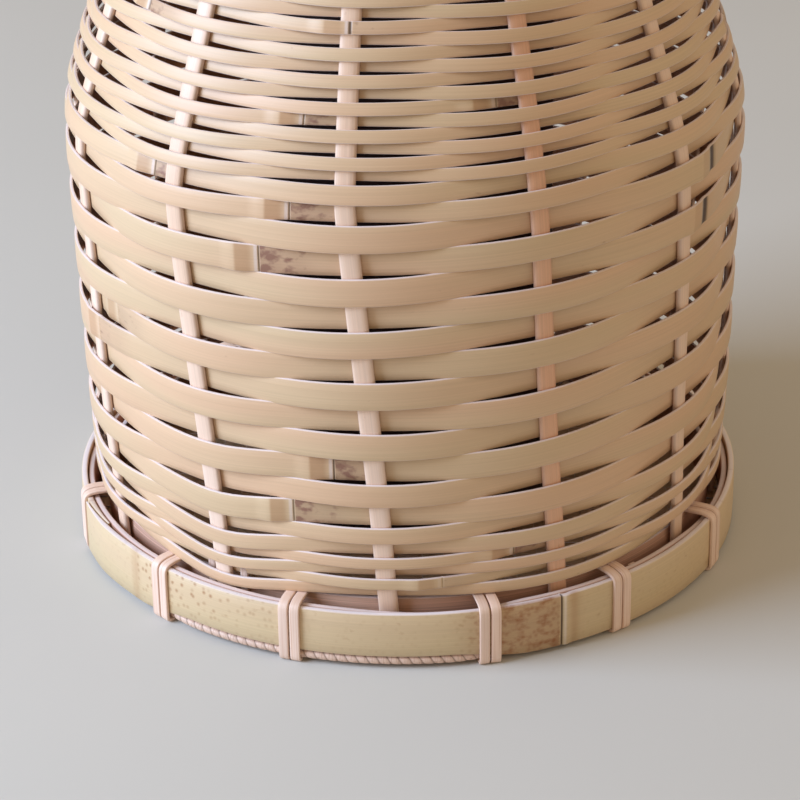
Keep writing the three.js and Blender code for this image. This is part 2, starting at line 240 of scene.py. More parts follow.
def wander(angle, height):
    """Unevenness in mm, up and out: waves round the wall, a tilt of the rows and a sag."""
    turn = np.radians(angle)
    held = fade(height, *WANDER_STARTS) * (1 - fade(height, *WANDER_ENDS))
    tilted = fade(height, *TILT_STARTS) * (1 - fade(height, *TILT_ENDS))
    tilt = tilted * ROW_TILT * np.cos(turn - TILT_TOWARDS)
    sagging = np.exp(-(half_turn(angle - SAG_ANGLE) / SAG_SPREAD) ** 2)
    sag = SAG_DEPTH * sagging * (1 - fade(height, *SAG_ENDS))
    up = held * WANDER_UP * waves(UP_WAVES, turn, height) + tilt - sag
    return up, held * WANDER_OUT * waves(OUT_WAVES, turn, height)


def wall_place(height, angle):
    """A point on the wall, with the directions square out of it and up along it."""
    up_by, out_by = wander(angle, height)
    slope = wall_slope(height)[:, None]
    level = direction(angle)
    out = (level - slope * UPRIGHT) / np.hypot(1, slope)
    up = (slope * level + UPRIGHT) / np.hypot(1, slope)
    point = level * wall_radius(height)[:, None] + UPRIGHT * height[:, None]
    return point + up * up_by[:, None] + out * out_by[:, None], out, up


shoulder_place = wall_place(np.array([SHOULDER_HEIGHT]), np.array([FRONT_STAKE_ANGLE]))[0]
print("front of the shoulder at", shoulder_place.round(1).tolist())

# %% [markdown]
# ## One way to make every strip
# A strip is a small outline carried along a path. Its points form a grid, path by outline, so
# the whole mesh comes from a few array sums. Each vertex also keeps where it lies along and
# across the strip, in metres, as a UV map: the grain of bamboo runs along a strip, whatever way
# the strip turns. Other facts about the surface, such as which side is skin, are attributes.

# %% Mesh from a grid of points
def tube_faces(rows, columns, is_loop):
    """Row and column of the four corners of each face; the last column joins the first one."""
    steps = rows if is_loop else rows - 1
    row, column = np.meshgrid(np.arange(steps), np.arange(columns), indexing="ij")
    corner_rows = np.stack([row, row, row + 1, row + 1], axis=-1).reshape(-1, 4)
    corner_columns = np.stack([column, column + 1, column + 1, column], axis=-1).reshape(-1, 4)
    return corner_rows, corner_columns


def end_faces(row, columns):
    """Faces that close an end: each point of the strip's face is joined to the one behind it."""
    near = np.arange(columns // 2 - 1)
    corner_columns = np.stack([near, near + 1, columns - 2 - near, columns - 1 - near], axis=-1)
    return np.full_like(corner_columns, row), corner_columns


def swept(points, along, across, is_loop=False, marks=None):
    """A grid of points in mm as vertices, faces, map and attributes, ready for make_piece.

    along has a length for each row, and one more where the rows form a loop; across has one
    for each column of each row and one more, because the columns always close. The sum of
    corner products, which is six times the volume, tells whether the faces point outwards."""
    rows, columns = points.shape[:2]
    parts = [tube_faces(rows, columns, is_loop)]
    if not is_loop:
        last_rows, last_columns = end_faces(rows - 1, columns)
        parts += [end_faces(0, columns), (last_rows[:, ::-1], last_columns[:, ::-1])]
    corner_rows = np.concatenate([part[0] for part in parts])
    corner_columns = np.concatenate([part[1] for part in parts])
    across = np.broadcast_to(across, (rows, columns + 1))
    faces = (corner_rows % rows) * columns + corner_columns % columns
    places = np.stack([along[corner_rows], across[corner_rows % rows, corner_columns]], axis=-1)
    smooth = np.arange(len(faces)) < len(parts[0][0])
    corners = points.reshape(-1, 3)[faces]
    cut = np.cross(corners[:, 1], corners[:, 2]) + np.cross(corners[:, 2], corners[:, 3])
    if np.einsum("ij,ij->", corners[:, 0], cut) < 0:
        faces, places = faces[:, ::-1], places[:, ::-1]
    attributes = {key: np.broadcast_to(value, (rows, columns)).ravel()
                  for key, value in (marks or {}).items()}
    return {"points": points.reshape(-1, 3), "faces": faces, "places": places,
            "smooth": smooth, "marks": attributes}


print("a loop of 6 rows of 4 points has", len(tube_faces(6, 4, True)[0]), "faces")

# %% [markdown]
# A piece is one mesh object at the origin. Its vertices could be added one by one, but foreach_set
# takes a whole array at once and is far quicker. The last lines give the piece its finish, tell the
# frame which body the piece rides on, and hide the solid that it replaces.


def make_piece(name, node, finish, *shapes, body="basket"):
    """Joins swept shapes into one object that stands for a solid and rides on its body."""
    starts = np.cumsum([0] + [len(shape["points"]) for shape in shapes])
    points = np.concatenate([shape["points"] for shape in shapes]) * MM
    faces = np.concatenate([shape["faces"] + start for shape, start in zip(shapes, starts)])
    places = np.concatenate([shape["places"] for shape in shapes]) * MM
    smooth = np.concatenate([shape["smooth"] for shape in shapes])
    loop_starts = np.arange(0, faces.size, faces.shape[1], dtype=np.int32)
    mesh = bpy.data.meshes.new(name)
    mesh.vertices.add(len(points))
    mesh.vertices.foreach_set("co", points.astype(np.float32).ravel())
    mesh.loops.add(faces.size)
    mesh.loops.foreach_set("vertex_index", faces.astype(np.int32).ravel())
    mesh.polygons.add(len(faces))
    mesh.polygons.foreach_set("loop_start", loop_starts)
    mesh.polygons.foreach_set("use_smooth", smooth)
    mesh.update(calc_edges=True)
    strip_map = mesh.uv_layers.new(name="strip")
    strip_map.uv.foreach_set("vector", places.astype(np.float32).ravel())
    for key in shapes[0]["marks"]:
        values = np.concatenate([shape["marks"][key] for shape in shapes]).astype(np.float32)
        mesh.attributes.new(key, "FLOAT", "POINT").data.foreach_set("value", values)
    mesh.validate()
    mesh.materials.append(finish)
    piece = bpy.data.objects.new(name, mesh)
    scene.collection.objects.link(piece)
    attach(piece, body)
    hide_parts(node)
    return piece


print(len(frame["nodes"]), "pieces to make")

# %% [markdown]
# The outline of a split strip has a skin side that is crowned a little, a flat inner side and two
# cut edges with the sharpness rubbed off. The rounding of an edge has one size however wide the
# strip is, so each point is told how far it goes with the width and how far with the rounding.

# %% Outline of a split strip
# Share of the width, share of the edge rounding, share of the half thickness
SPLIT_OUTLINE = np.array([
    [1, 1, 0.35], [1, 0.7, 0.8], [1, 0, 0.98], [0.4, 0, 1.12],
    [-0.4, 0, 1.12], [-1, 0, 0.98], [-1, -0.7, 0.8], [-1, -1, 0.35],
    [-1, -1, -0.5], [-1, -0.7, -0.88], [-1, 0, -1], [-0.4, 0, -1],
    [0.4, 0, -1], [1, 0, -1], [1, 0.7, -0.88], [1, 1, -0.5],
])
EDGE_ROUND = 0.22
IS_SKIN = (SPLIT_OUTLINE[:, 2] > 0).astype(float)
# Points on the rounded cut edges: their colour is bare fibre with a painted highlight on it
IS_EDGE = np.abs(SPLIT_OUTLINE[:, 1]) ** 2
# The skin without the two cut edges
IS_FACE = IS_SKIN * (SPLIT_OUTLINE[:, 1] == 0)


def strip(path, out, up, width, thickness, outline=SPLIT_OUTLINE, start=0.0, is_loop=False,
          marks=None):
    """Carries the outline along a path: across by the width, out by the half thickness."""
    width = np.broadcast_to(width, len(path))
    thickness = np.broadcast_to(thickness, len(path))
    rounding = np.minimum(EDGE_ROUND, width / 2)
    across = outline[:, 0] * (width / 2 - rounding)[:, None] + outline[:, 1] * rounding[:, None]
    outwards = outline[:, 2] * (thickness / 2)[:, None]
    points = path[:, None] + up[:, None] * across[..., None] + out[:, None] * outwards[..., None]
    closing = path[:1] if is_loop else path[:0]
    steps = np.linalg.norm(np.diff(np.concatenate([path, closing]), axis=0), axis=1)
    along = start + np.concatenate([[0], np.cumsum(steps)])
    facts = {"skin": IS_SKIN, "edge": IS_EDGE, **(marks or {})}
    return swept(points, along, np.hstack([across, across[:, :1]]), is_loop, facts)


def square_out(path, up):
    """Direction out of a strip's face: square to the path and to the strip's width."""
    ahead = np.gradient(path, axis=0)
    out = np.cross(ahead, up)
    return out / np.linalg.norm(out, axis=1)[:, None]


print("outline of", len(SPLIT_OUTLINE), "points,", int(IS_SKIN.sum()), "of them on the skin side")

# %% [markdown]
# ## Finishes
# Bamboo is a grass: its fibres run straight along the pole, so a split strip shows fine lengthwise
# streaks, a satin skin outside and duller, browner wood inside. Node groups or images could carry
# this, but a few noise patterns on the strip's own map are enough. A colour is written as a hex
# value, as a painter would note it, and turned into linear light by one function. One more small
# function adds a shader node with its settings and links.

# %% Colour and node helpers
# Sockets of the colour Mix node, which has the same names for numbers and vectors
MIX_SHARE, MIX_UNDER, MIX_OVER, MIX_RESULT = 0, 6, 7, 2


def linear(hex_colour):
    """sRGB hex to linear light: (c + 0.055) / 1.055 to the power 2.4, or c / 12.92 when dark."""
    shares = np.array([int(hex_colour[i:i + 2], 16) for i in (1, 3, 5)]) / 255
    light = np.where(shares > 0.04045, ((shares + 0.055) / 1.055) ** 2.4, shares / 12.92)
    return (*light.tolist(), 1.0)


def new_finish(name):
    """An empty material and its node tree."""
    finish = bpy.data.materials.new(name)
    finish.use_nodes = True
    finish.node_tree.nodes.clear()
    return finish, finish.node_tree


def add(tree, kind, sockets, **settings):
    """Adds one node: settings are its options, sockets hold values or other nodes' outputs."""
    made = tree.nodes.new(kind)
    for option, value in settings.items():
        setattr(made, option, value)
    for socket, value in sockets.items():
        if isinstance(value, bpy.types.NodeSocket):
            tree.links.new(value, made.inputs[socket])
        else:
            made.inputs[socket].default_value = value
    return made.outputs


def limits(side, low, high):
    """The two sockets that bound what comes into a Map Range node, or what goes out of it."""
    return {f"{side} Min": low, f"{side} Max": high}


def layered(tree, *layers):
    """Lays colours over each other: a layer has a share, colours under and over, and a blend.

    None stands for the colour that the layers before it have made."""
    colour = None
    for share, under, over, blend in layers:
        under, over = [colour if given is None else given for given in (under, over)]
        sockets = {MIX_SHARE: share, MIX_UNDER: under, MIX_OVER: over}
        colour = add(tree, "ShaderNodeMix", sockets, data_type="RGBA", blend_type=blend)[MIX_RESULT]
    return colour


print("mid grey in linear light", round(linear("#808080")[0], 3))

# %% [markdown]
# Everything that shows on a strip follows its length, so the patterns are read from the strip's
# own map, which is in metres. An image would need to be drawn and packed. A noise pattern needs
# only the real size of one grain: a fibre is a grain that is long and thin, and a patch of tone is
# a grain as long as a hand. The fibres of bamboo are about 0.3 mm apart, drawn 0.4 mm wide so that
# they show at all in the picture.

# %% Grain on the map of a strip
# The map is flat, so a pattern has one endless grain along its third axis
ENDLESS = 1000.0
# Length and width of a grain, and how many finer layers of noise it has
FIBRE_GRAIN = (55.0, 0.4, 3.0)
TONE_GRAIN = (95.0, 14.0, 1.0)
STAIN_GRAIN = (3.0, 2.0, 4.0)


def per_mm(*sizes):
    """Scale of a pattern, from the size in mm of one of its grains along each axis of the map."""
    return tuple(1 / (size * MM) for size in sizes)


def grains(tree, place, **sizes):
    """Noise patterns on the strip's map, each stretched to the length and width of its grain."""
    made = {}
    for key, (length, width, detail) in sizes.items():
        scaled = add(tree, "ShaderNodeMapping", {
            "Vector": place, "Scale": per_mm(length, width, ENDLESS)})["Vector"]
        made[key] = add(tree, "ShaderNodeTexNoise", {
            "Vector": scaled, "Scale": 1.0, "Detail": detail})["Fac"]
    return made


print("fibres", FIBRE_GRAIN[1], "mm wide, tone changes over", TONE_GRAIN[0], "mm")

# %% [markdown]
# Where a branch grew, bamboo has a node, with brown staining on one side of it. A stain could be
# painted as a soft cloud, but on bamboo it breaks up into blotches and then into single dots, so
# the mark of a stain moves the level at which a noise pattern is cut off. Freckles are round dots
# in the cells of a second pattern, in some of the cells only.

# %% Stains and freckles
# A stain of no strength is cut off at the first level, a full one at the second
CLEAR_LEVEL, FULL_LEVEL = 0.84, 0.4
STAIN_TINT, STAIN_BLOTCH = 0.42, 0.88
# Distance in mm; the size of a freckle and of its dark core are shares of the distance
FRECKLE_APART, FRECKLE_SIZE, FRECKLE_CORE = 2.0, 0.36, 0.04
# A cell's own number has to be above the first for a faint freckle, above the second for a full one
FRECKLE_CHANCE = (0.32, 0.55)


def stain_share(tree, mark, cloud, blur):
    """The cloud pattern above a level that falls as the mark grows, but at least a thin tint."""
    level = add(tree, "ShaderNodeMapRange", {
        "Value": mark, **limits("To", CLEAR_LEVEL, FULL_LEVEL)})["Result"]
    above = add(tree, "ShaderNodeMath", {0: cloud, 1: level}, operation="SUBTRACT")[0]
    blotch = add(tree, "ShaderNodeMapRange", {
        "Value": above, **limits("From", -blur, blur), "To Max": STAIN_BLOTCH})["Result"]
    tint = add(tree, "ShaderNodeMath", {0: mark, 1: STAIN_TINT}, operation="MULTIPLY")[0]
    return add(tree, "ShaderNodeMath", {0: blotch, 1: tint}, operation="MAXIMUM")[0]


def freckle_share(tree, mark, place):
    """A dot in the middle of a cell, times whether the cell has one, times the mark."""
    cell = add(tree, "ShaderNodeMapping", {
        "Vector": place, "Scale": per_mm(FRECKLE_APART, FRECKLE_APART, ENDLESS)})["Vector"]
    cells = add(tree, "ShaderNodeTexVoronoi", {
        "Vector": cell, "Scale": 1.0}, voronoi_dimensions="2D")
    dot = add(tree, "ShaderNodeMapRange", {
        "Value": cells["Distance"], **limits("From", FRECKLE_SIZE, FRECKLE_CORE)})["Result"]
    some = add(tree, "ShaderNodeMapRange", {
        "Value": cells["Color"], **limits("From", *FRECKLE_CHANCE)})["Result"]
    freckle = add(tree, "ShaderNodeMath", {0: dot, 1: some}, operation="MULTIPLY")[0]
    return add(tree, "ShaderNodeMath", {0: freckle, 1: mark}, operation="MULTIPLY")[0]


print("freckles", FRECKLE_APART, "mm apart")

# %% [markdown]
# Split bamboo: the skin is smooth and a little waxy, so it takes a soft sheen, and it goes from
# pinkish tan to greenish straw along a strip. The inner side and the cut edges are bare fibre, and
# the cut edges are painted paler still, a painted highlight where they catch the light. The colour
# is laid in layers, as a painter would: the tones of the skin, the wood, the fibres, the pale edges
# with their painted highlight, and then the marks, with the dark groove of a node on top.

# %% Split bamboo
TONE_RANGE, FIBRE_RANGE = (0.38, 0.62), (0.3, 0.7)
FIBRE_RELIEF, FIBRE_BUMP = 0.12, 0.25
BROWNED_COLOUR, GROOVE_COLOUR = "#a0642c", "#3d220e"
GLOSS_LOSS, GLOSS_GAIN = 0.08, 0.12
# Bamboo skin is cellulose and silica, and its thin wax is duller than a varnish
BAMBOO_IOR, WAX_ROUGHNESS = 1.47, 0.4
BAMBOO_MARKS = ("skin", "edge", "browned", "stain", "freckle", "groove")


def split_bamboo(name, skin, skin_other, wood, edge, stain, blur, streak, gloss, wax):
    """Layers of colour by the strip's marks; the fibres also set the roughness and the relief."""
    finish, tree = new_finish(name)
    place = add(tree, "ShaderNodeUVMap", {}, uv_map="strip")["UV"]
    mark = {key: add(tree, "ShaderNodeAttribute", {}, attribute_name=key)["Fac"]
            for key in BAMBOO_MARKS}
    grain = grains(tree, place, tone=TONE_GRAIN, fibre=FIBRE_GRAIN, cloud=STAIN_GRAIN)
    tone = add(tree, "ShaderNodeMapRange", {
        "Value": grain["tone"], **limits("From", *TONE_RANGE)})["Result"]
    fibre = add(tree, "ShaderNodeMapRange", {
        "Value": grain["fibre"], **limits("From", *FIBRE_RANGE),
        **limits("To", 1 - streak, 1 + streak)})["Result"]
    colour = layered(
        tree,
        (tone, linear(skin), linear(skin_other), "MIX"),
        (mark["skin"], linear(wood), None, "MIX"),
        (1.0, None, fibre, "MULTIPLY"),
        # Cut edges: the pale colour of bare fibre, with a painted highlight in it
        (mark["edge"], None, linear(edge), "MIX"),
        (mark["browned"], None, linear(BROWNED_COLOUR), "MIX"),
        (stain_share(tree, mark["stain"], grain["cloud"], blur), None, linear(stain), "MIX"),
        (freckle_share(tree, mark["freckle"], place), None, linear(stain), "MIX"),
        (mark["groove"], None, linear(GROOVE_COLOUR), "MIX"),
    )
    rough = add(tree, "ShaderNodeMapRange", {
        "Value": grain["fibre"], **limits("To", gloss - GLOSS_LOSS, gloss + GLOSS_GAIN)})["Result"]
    bump = add(tree, "ShaderNodeBump", {
        "Height": grain["fibre"], "Strength": FIBRE_BUMP, "Distance": FIBRE_RELIEF * MM})["Normal"]
    surface = add(tree, "ShaderNodeBsdfPrincipled", {
        "Base Color": colour, "Roughness": rough, "Normal": bump, "IOR": BAMBOO_IOR,
        "Coat Weight": wax, "Coat Roughness": WAX_ROUGHNESS})["BSDF"]
    add(tree, "ShaderNodeOutputMaterial", {"Surface": surface})
    return finish


print("bamboo shows", len(BAMBOO_MARKS), "marks")

# %% [markdown]
# One maker gives five kinds of bamboo. Mostly what differs is how the strip was split: with the skin
# left on it is tan and satin, peeled it is paler and duller, and its inner face is brown and matt.
# One more copy of the peeled kind is darker and more orange: painted warm shade for a stake on the
# shaded side.

# %% Five kinds of bamboo
# The edge colour of each kind is its bare fibre painted paler, as a painted highlight
# Skin left on: warm tan with a soft sheen, stained a dull brown behind each node
weaver_bamboo = split_bamboo(
    "split_bamboo_with_skin", skin="#d8b28d", skin_other="#d2b48d", wood="#bd8a68",
    edge="#ecdedb", stain="#875a49", blur=0.13, streak=0.05, gloss=0.45, wax=0.25)
# Peeled: paler and pinker than the skin, with plain fibres and little sheen
stake_bamboo = split_bamboo(
    "peeled_bamboo", skin="#efd2bb", skin_other="#e6c4a7", wood="#c99b7c",
    edge="#e6ccba", stain="#bb9070", blur=0.1, streak=0.07, gloss=0.5, wax=0.2)
# The peeled surface in a darker, more orange tone: painted warm shade for a stake on the shaded side
shaded_stake_bamboo = split_bamboo(
    "peeled_bamboo_painted_shade", skin="#e6b693", skin_other="#deaa86", wood="#c08a68",
    edge="#e0b79c", stain="#b07f5c", blur=0.1, streak=0.07, gloss=0.5, wax=0.2)
# Inner face: reddish brown and matt, with strong fibre lines
inner_bamboo = split_bamboo(
    "split_bamboo_inner_face", skin="#c2957d", skin_other="#cda389",
    wood="#b58468", edge="#e9d6d0", stain="#8f6450", blur=0.1, streak=0.2, gloss=0.6, wax=0.0)
# Broad band from the outside of an old pole: straw-coloured and smooth, with orange-brown marks
band_bamboo = split_bamboo(
    "bamboo_band_with_skin", skin="#d7bb94", skin_other="#d1b88e", wood="#c39a6e",
    edge="#f2e6e4", stain="#94541c", blur=0.2, streak=0.05, gloss=0.4, wax=0.25)

# %% [markdown]
# Rattan: the lashings are flat strips peeled from rattan cane, paler and pinker than bamboo, with
# fine lines and a soft gloss. The same pattern in a browner tone, with painted shade between the
# turns, serves the wound hoop of the foot. The lines are drawn 0.45 mm wide, coarser than they are,
# so that they show in the picture.

# %% Rattan strip
RATTAN_LINE_GRAIN, RATTAN_TONE_GRAIN = (30.0, 0.45, 2.0), (40.0, 30.0, 2.0)
RATTAN_LINE_RANGE, RATTAN_LINE_DEPTH, RATTAN_BUMP = (0.5, 0.75), 0.15, 0.3
RATTAN_TONE_RANGE, RATTAN_TONES = (0.35, 0.65), (0.93, 1.06)
RATTAN_ROUGHNESS, RATTAN_IOR = (0.4, 0.6), 1.48
# Colour of the painted shade between the turns of a winding
RATTAN_SHADE_COLOUR = "#6b4a38"


def rattan_strip(name, pale, line):
    """Fine darker and deeper lines along a pale strip, times a slow change of tone, and painted
    shade where the groove mark is set.
    """
    finish, tree = new_finish(name)
    place = add(tree, "ShaderNodeUVMap", {}, uv_map="strip")["UV"]
    groove = add(tree, "ShaderNodeAttribute", {}, attribute_name="groove")["Fac"]
    grain = grains(tree, place, line=RATTAN_LINE_GRAIN, tone=RATTAN_TONE_GRAIN)
    lines = add(tree, "ShaderNodeMapRange", {
        "Value": grain["line"], **limits("From", *RATTAN_LINE_RANGE)})["Result"]
    tone = add(tree, "ShaderNodeMapRange", {
        "Value": grain["tone"], **limits("From", *RATTAN_TONE_RANGE),
        **limits("To", *RATTAN_TONES)})["Result"]
    colour = layered(
        tree,
        (lines, linear(pale), linear(line), "MIX"),
        (1.0, None, tone, "MULTIPLY"),
        # Painted shade where the groove mark is set
        (groove, None, linear(RATTAN_SHADE_COLOUR), "MIX"),
    )
    rough = add(tree, "ShaderNodeMapRange", {
        "Value": grain["line"], **limits("To", *RATTAN_ROUGHNESS)})["Result"]
    bump = add(tree, "ShaderNodeBump", {
        "Height": grain["line"], "Strength": RATTAN_BUMP,
        "Distance": -RATTAN_LINE_DEPTH * MM})["Normal"]
    surface = add(tree, "ShaderNodeBsdfPrincipled", {
        "Base Color": colour, "Roughness": rough, "Normal": bump, "IOR": RATTAN_IOR})["BSDF"]
    add(tree, "ShaderNodeOutputMaterial", {"Surface": surface})
    return finish


# Peel: pale cream with a soft gloss, the lightest thing on the basket
lashing_rattan = rattan_strip("rattan_peel", pale="#ecceb9", line="#d6ae93")
# Core: browner, with painted shadow between the turns of its winding
hoop_rattan = rattan_strip("rattan_core_winding", pale="#dcbca6", line="#b58f77")
print("rattan finishes", lashing_rattan.name, hoop_rattan.name)

# %% [markdown]
# ## Stakes
# The stakes are the warp of the basket: rods split from the pole, peeled, and rounded off on the
# side that shows. A bevelled curve would do, but the same strip maker gives them the wall's bends,
# their lean to the left and their own grain in one call each. No two are equally wide.

# %% Twelve stakes
STAKE_LOW, STAKE_HIGH = 5.1, 210.57
STAKE_WIDTH, STAKE_THICKNESS = 4.75, 1.75
STAKE_SAMPLES = 110
STAKE_OUTLINE = np.array([
    [1, 1, -0.1], [1, 0.7, 0.45], [0.86, 0, 0.8], [0.4, 0, 0.96],
    [-0.4, 0, 0.96], [-0.86, 0, 0.8], [-1, -0.7, 0.45], [-1, -1, -0.1],
    [-1, -1, -0.35], [-0.95, -0.7, -0.75], [-0.75, 0, -0.95], [-0.3, 0, -1],
    [0.3, 0, -1], [0.75, 0, -0.95], [0.95, 0.7, -0.75], [1, 1, -0.35],
])
# Size in mm or share, length of the wave in mm for a radian, and its shift from stake to stake
SWAY, SWAY_LENGTH, SWAY_SHIFT = 0.25, 29, 2.4
SWELL, SWELL_LENGTH, SWELL_SHIFT = 0.05, 47, 1.7
WIDTH_SPREAD, WIDTH_SHIFT = 0.04, 5.1
SWAY_STARTS = (15, 40)
STAKE_STAIN = 0.12
STAKE_MAP_STEP = 400.0
# Stakes whose colour has painted warm shade in it
SHADED_STAKES = (1,)
chance = np.random.default_rng(12)


def stake(number):
    """A rod along the wall's outline: its width and its sideways sway change a little."""
    height = np.linspace(STAKE_LOW, STAKE_HIGH, STAKE_SAMPLES)
    path, out, up = wall_place(height, stake_angle(number, height))
    side = np.cross(up, out)
    sway = SWAY * np.sin(height / SWAY_LENGTH + SWAY_SHIFT * number) * fade(height, *SWAY_STARTS)
    swell = SWELL * np.sin(height / SWELL_LENGTH + SWELL_SHIFT * number)
    width = STAKE_WIDTH * (1 + swell + WIDTH_SPREAD * np.sin(WIDTH_SHIFT * number))
    marks = {"stain": STAKE_STAIN * (chance.random() + 1), "groove": 0.0}
    return strip(path + side * sway[:, None], out, side, width, STAKE_THICKNESS, STAKE_OUTLINE,
                 STAKE_MAP_STEP * number, marks=marks)


for number in range(STAKES):
    node = f"stake_{number + 1:02d}"
    # The stake right of the front, on the shaded side, takes the copy with painted warm shade
    finish = shaded_stake_bamboo if number in SHADED_STAKES else stake_bamboo
    make_piece(f"bamboo_{node}", node, finish, stake(number))
print(STAKES, "stakes")

# %% [markdown]
# ## Weavers
# With an even number of stakes one weaver would pass outside the same stakes on every turn, so two
# weavers chase each other: where one passes outside a stake, the other passes inside. Bamboo nodes
# fall along a strip every hand's breadth or two. They could all be strewn by chance, but the ones
# in view are what makes this basket that one, so those are listed by their place on the strip.

# %% Where the bamboo nodes are
BACK_GAPS = STAKES // 2
# Place in gaps from the back stake, strength of the stain, darkness of the groove, half its width
SEEN_NODES = {
    "a": [(6.31, 0.45, 0.2, 0.22), (18.74, 1.0, 0.6, 0.22), (64.13, 0.5, 0.1, 0.22),
          (92.16, 0.25, 1.0, 1.5), (104.26, 0.25, 1.0, 1.5), (112.83, 0.7, 0.7, 0.22),
          (150.82, 0.9, 0.5, 0.22)],
    "b": [(41.51, 0.9, 0.6, 0.22), (53.77, 0.95, 0.8, 0.22), (76.32, 0.5, 0.1, 0.22),
          (101.5, 1.0, 0.7, 0.22), (113.69, 0.85, 0.7, 0.22), (149.74, 0.8, 0.6, 0.22)],
}
NODE_APART, NODE_TRIES = (330.0, 520.0), 90
MIDDLE_RADIUS = 76
SEEN_GAPS, SEEN_TURNS, GAPS_BELOW_END = 2.9, 15, 4
# Least and most of the stain, the groove and half its width
NODE_LEAST, NODE_MOST = [[0.3], [0.2], [0.25]], [[1.0], [0.9], [0.5]]


def all_nodes(letter):
    """Nodes known from the picture, and others by chance on the sides that it doesn't show."""
    known = np.array(SEEN_NODES[letter])
    lengths = chance.uniform(*NODE_APART, NODE_TRIES)
    gaps = np.cumsum(lengths) / (2 * math.pi * MIDDLE_RADIUS / STAKES)
    is_front = np.abs(gaps % STAKES - BACK_GAPS) < SEEN_GAPS
    is_seen = is_front & (gaps / STAKES < SEEN_TURNS)
    unseen = gaps[~is_seen & (gaps < ALL_TURNS * STAKES - GAPS_BELOW_END)]
    stains, grooves, halves = chance.uniform(NODE_LEAST, NODE_MOST, (3, len(unseen)))
    others = np.stack([unseen, stains, grooves, halves], axis=1)
    return np.concatenate([known, others])


NODES = {letter: all_nodes(letter) for letter in "ab"}
print({letter: len(nodes) for letter, nodes in NODES.items()}, "bamboo nodes")

# %% [markdown]
# Seen along a strip, a node is a low roof: the skin swells slowly, falls off over a brown slope,
# and ends in a thin groove with a stain behind it, and a painted highlight lies along the near lip
# of the groove. It could be a bump map, but the ridge catches the light from every side, so it is
# part of the strip's path, with closer samples around it.

# %% Shape and marks of a node
# Places along the strip are in mm from the middle of the node
RIDGE_HEIGHT, RIDGE_RISE, RIDGE_FALL, RIDGE_WIDENING = 0.45, (-10, -5.6), 5.4, 0.06
GROOVE_DEPTH, GROOVE_PLACE = 0.16, 0.25
STAIN_RISE = (0.3, 0.7)
STAIN_FALL_NEAR, STAIN_LOSS_NEAR = (3, 7), 0.35
STAIN_FALL_FAR, STAIN_LOSS_FAR = (8, 16), 0.65
BROWN_RISE, BROWN_FALL, BROWN_SHARE, BROWN_LEAST = (-6.0, -5.2), (-2.5, -0.8), 0.4, 0.3
# A painted highlight along the near lip of the node's groove
LIP_HIGHLIGHT_PLACE, LIP_HIGHLIGHT_HALF, LIP_HIGHLIGHT_SHARE = -0.5, 0.45, 0.6
NODE_SAMPLES = np.concatenate([
    np.linspace(-10, -6.4, 6), np.linspace(-6.0, -4.8, 7), np.linspace(-4.4, -1.4, 6),
    np.linspace(-1.2, 1.4, 23), np.linspace(1.8, 18, 12),
])


def flat_bell(distance, half):
    """e^(-(distance / half)^4): a bell with a flat top and steep sides."""
    return np.exp(-(distance / half) ** 4)


def node_shape(from_node, stain, groove, half):
    """Swelling before the node and slit at it, from 0 to 1, and the marks of the finish."""
    swelling = fade(from_node, *RIDGE_RISE) * np.clip(-from_node / RIDGE_FALL, 0, 1)
    slit = flat_bell(from_node - GROOVE_PLACE, half)
    lost = STAIN_LOSS_NEAR * fade(from_node, *STAIN_FALL_NEAR)
    lost = lost + STAIN_LOSS_FAR * fade(from_node, *STAIN_FALL_FAR)
    falling = fade(from_node, *BROWN_RISE) * (1 - fade(from_node, *BROWN_FALL))
    browned = BROWN_SHARE * falling * np.minimum(stain + BROWN_LEAST, 1)
    # Painted highlight along the groove's lip, as strong as the groove is dark
    pale = LIP_HIGHLIGHT_SHARE * groove * flat_bell(from_node - LIP_HIGHLIGHT_PLACE, LIP_HIGHLIGHT_HALF)
    marks = {
        "stain": (fade(from_node, *STAIN_RISE) * (1 - lost) * stain)[:, None],
        "browned": browned[:, None] * IS_FACE,
        "groove": (slit * groove)[:, None] * IS_FACE,
        "edge": np.maximum(IS_EDGE, pale[:, None] * IS_SKIN),
    }
    return swelling, slit, marks


print(len(NODE_SAMPLES), "samples across each node")

# %% [markdown]
# Each weaver starts as a thin tail, climbs as a helix, is narrow at the foot, wide on the body and
# narrow again on the shoulder. A swing in and out along a cosine is close to what a stiff strip
# does by itself. It is level, so on the leaning shoulder a strip slips up behind the one above it.
# A new length starts with its end tucked in behind the old one.

# %% Weaver strips
WEAVER_THICKNESS, WEAVE_SWING = 0.85, 1.32
ROW_OVERLAP, TAIL_WIDTH = 1.02, 0.3
SPLICE_TUCK, SPLICE_HALF = 1.1, 0.5
WIDTH_WAVE, WIDTH_WAVE_TURN = 0.02, 0.9
SAMPLES_PER_GAP = 14
# First and last turn of each length of weaver
WEAVER_LENGTHS = {
    "foot_weaver": (0, 3), "lower_body_weaver": (3, 6), "upper_body_weaver": (6, 10),
    "shoulder_weaver_1": (10, 14), "shoulder_weaver_2": (14, 19),
    "shoulder_weaver_3": (19, ALL_TURNS),
}
FIRST_GAP, LAST_GAP = 3, 277
SPLICE_GAP = {"a": 1, "b": 0}
# Rows above the rest height, and whether the weaver passes outside or inside the back stake
WEAVER_ORDER = {"a": (1, 1), "b": (0, -1)}
WEAVER_MAP_STEP = 3100.0
# A node far below the basket, for a length of weaver that has none of its own
FAR_NODE = [[-1000.0, 1, 1, 1]]


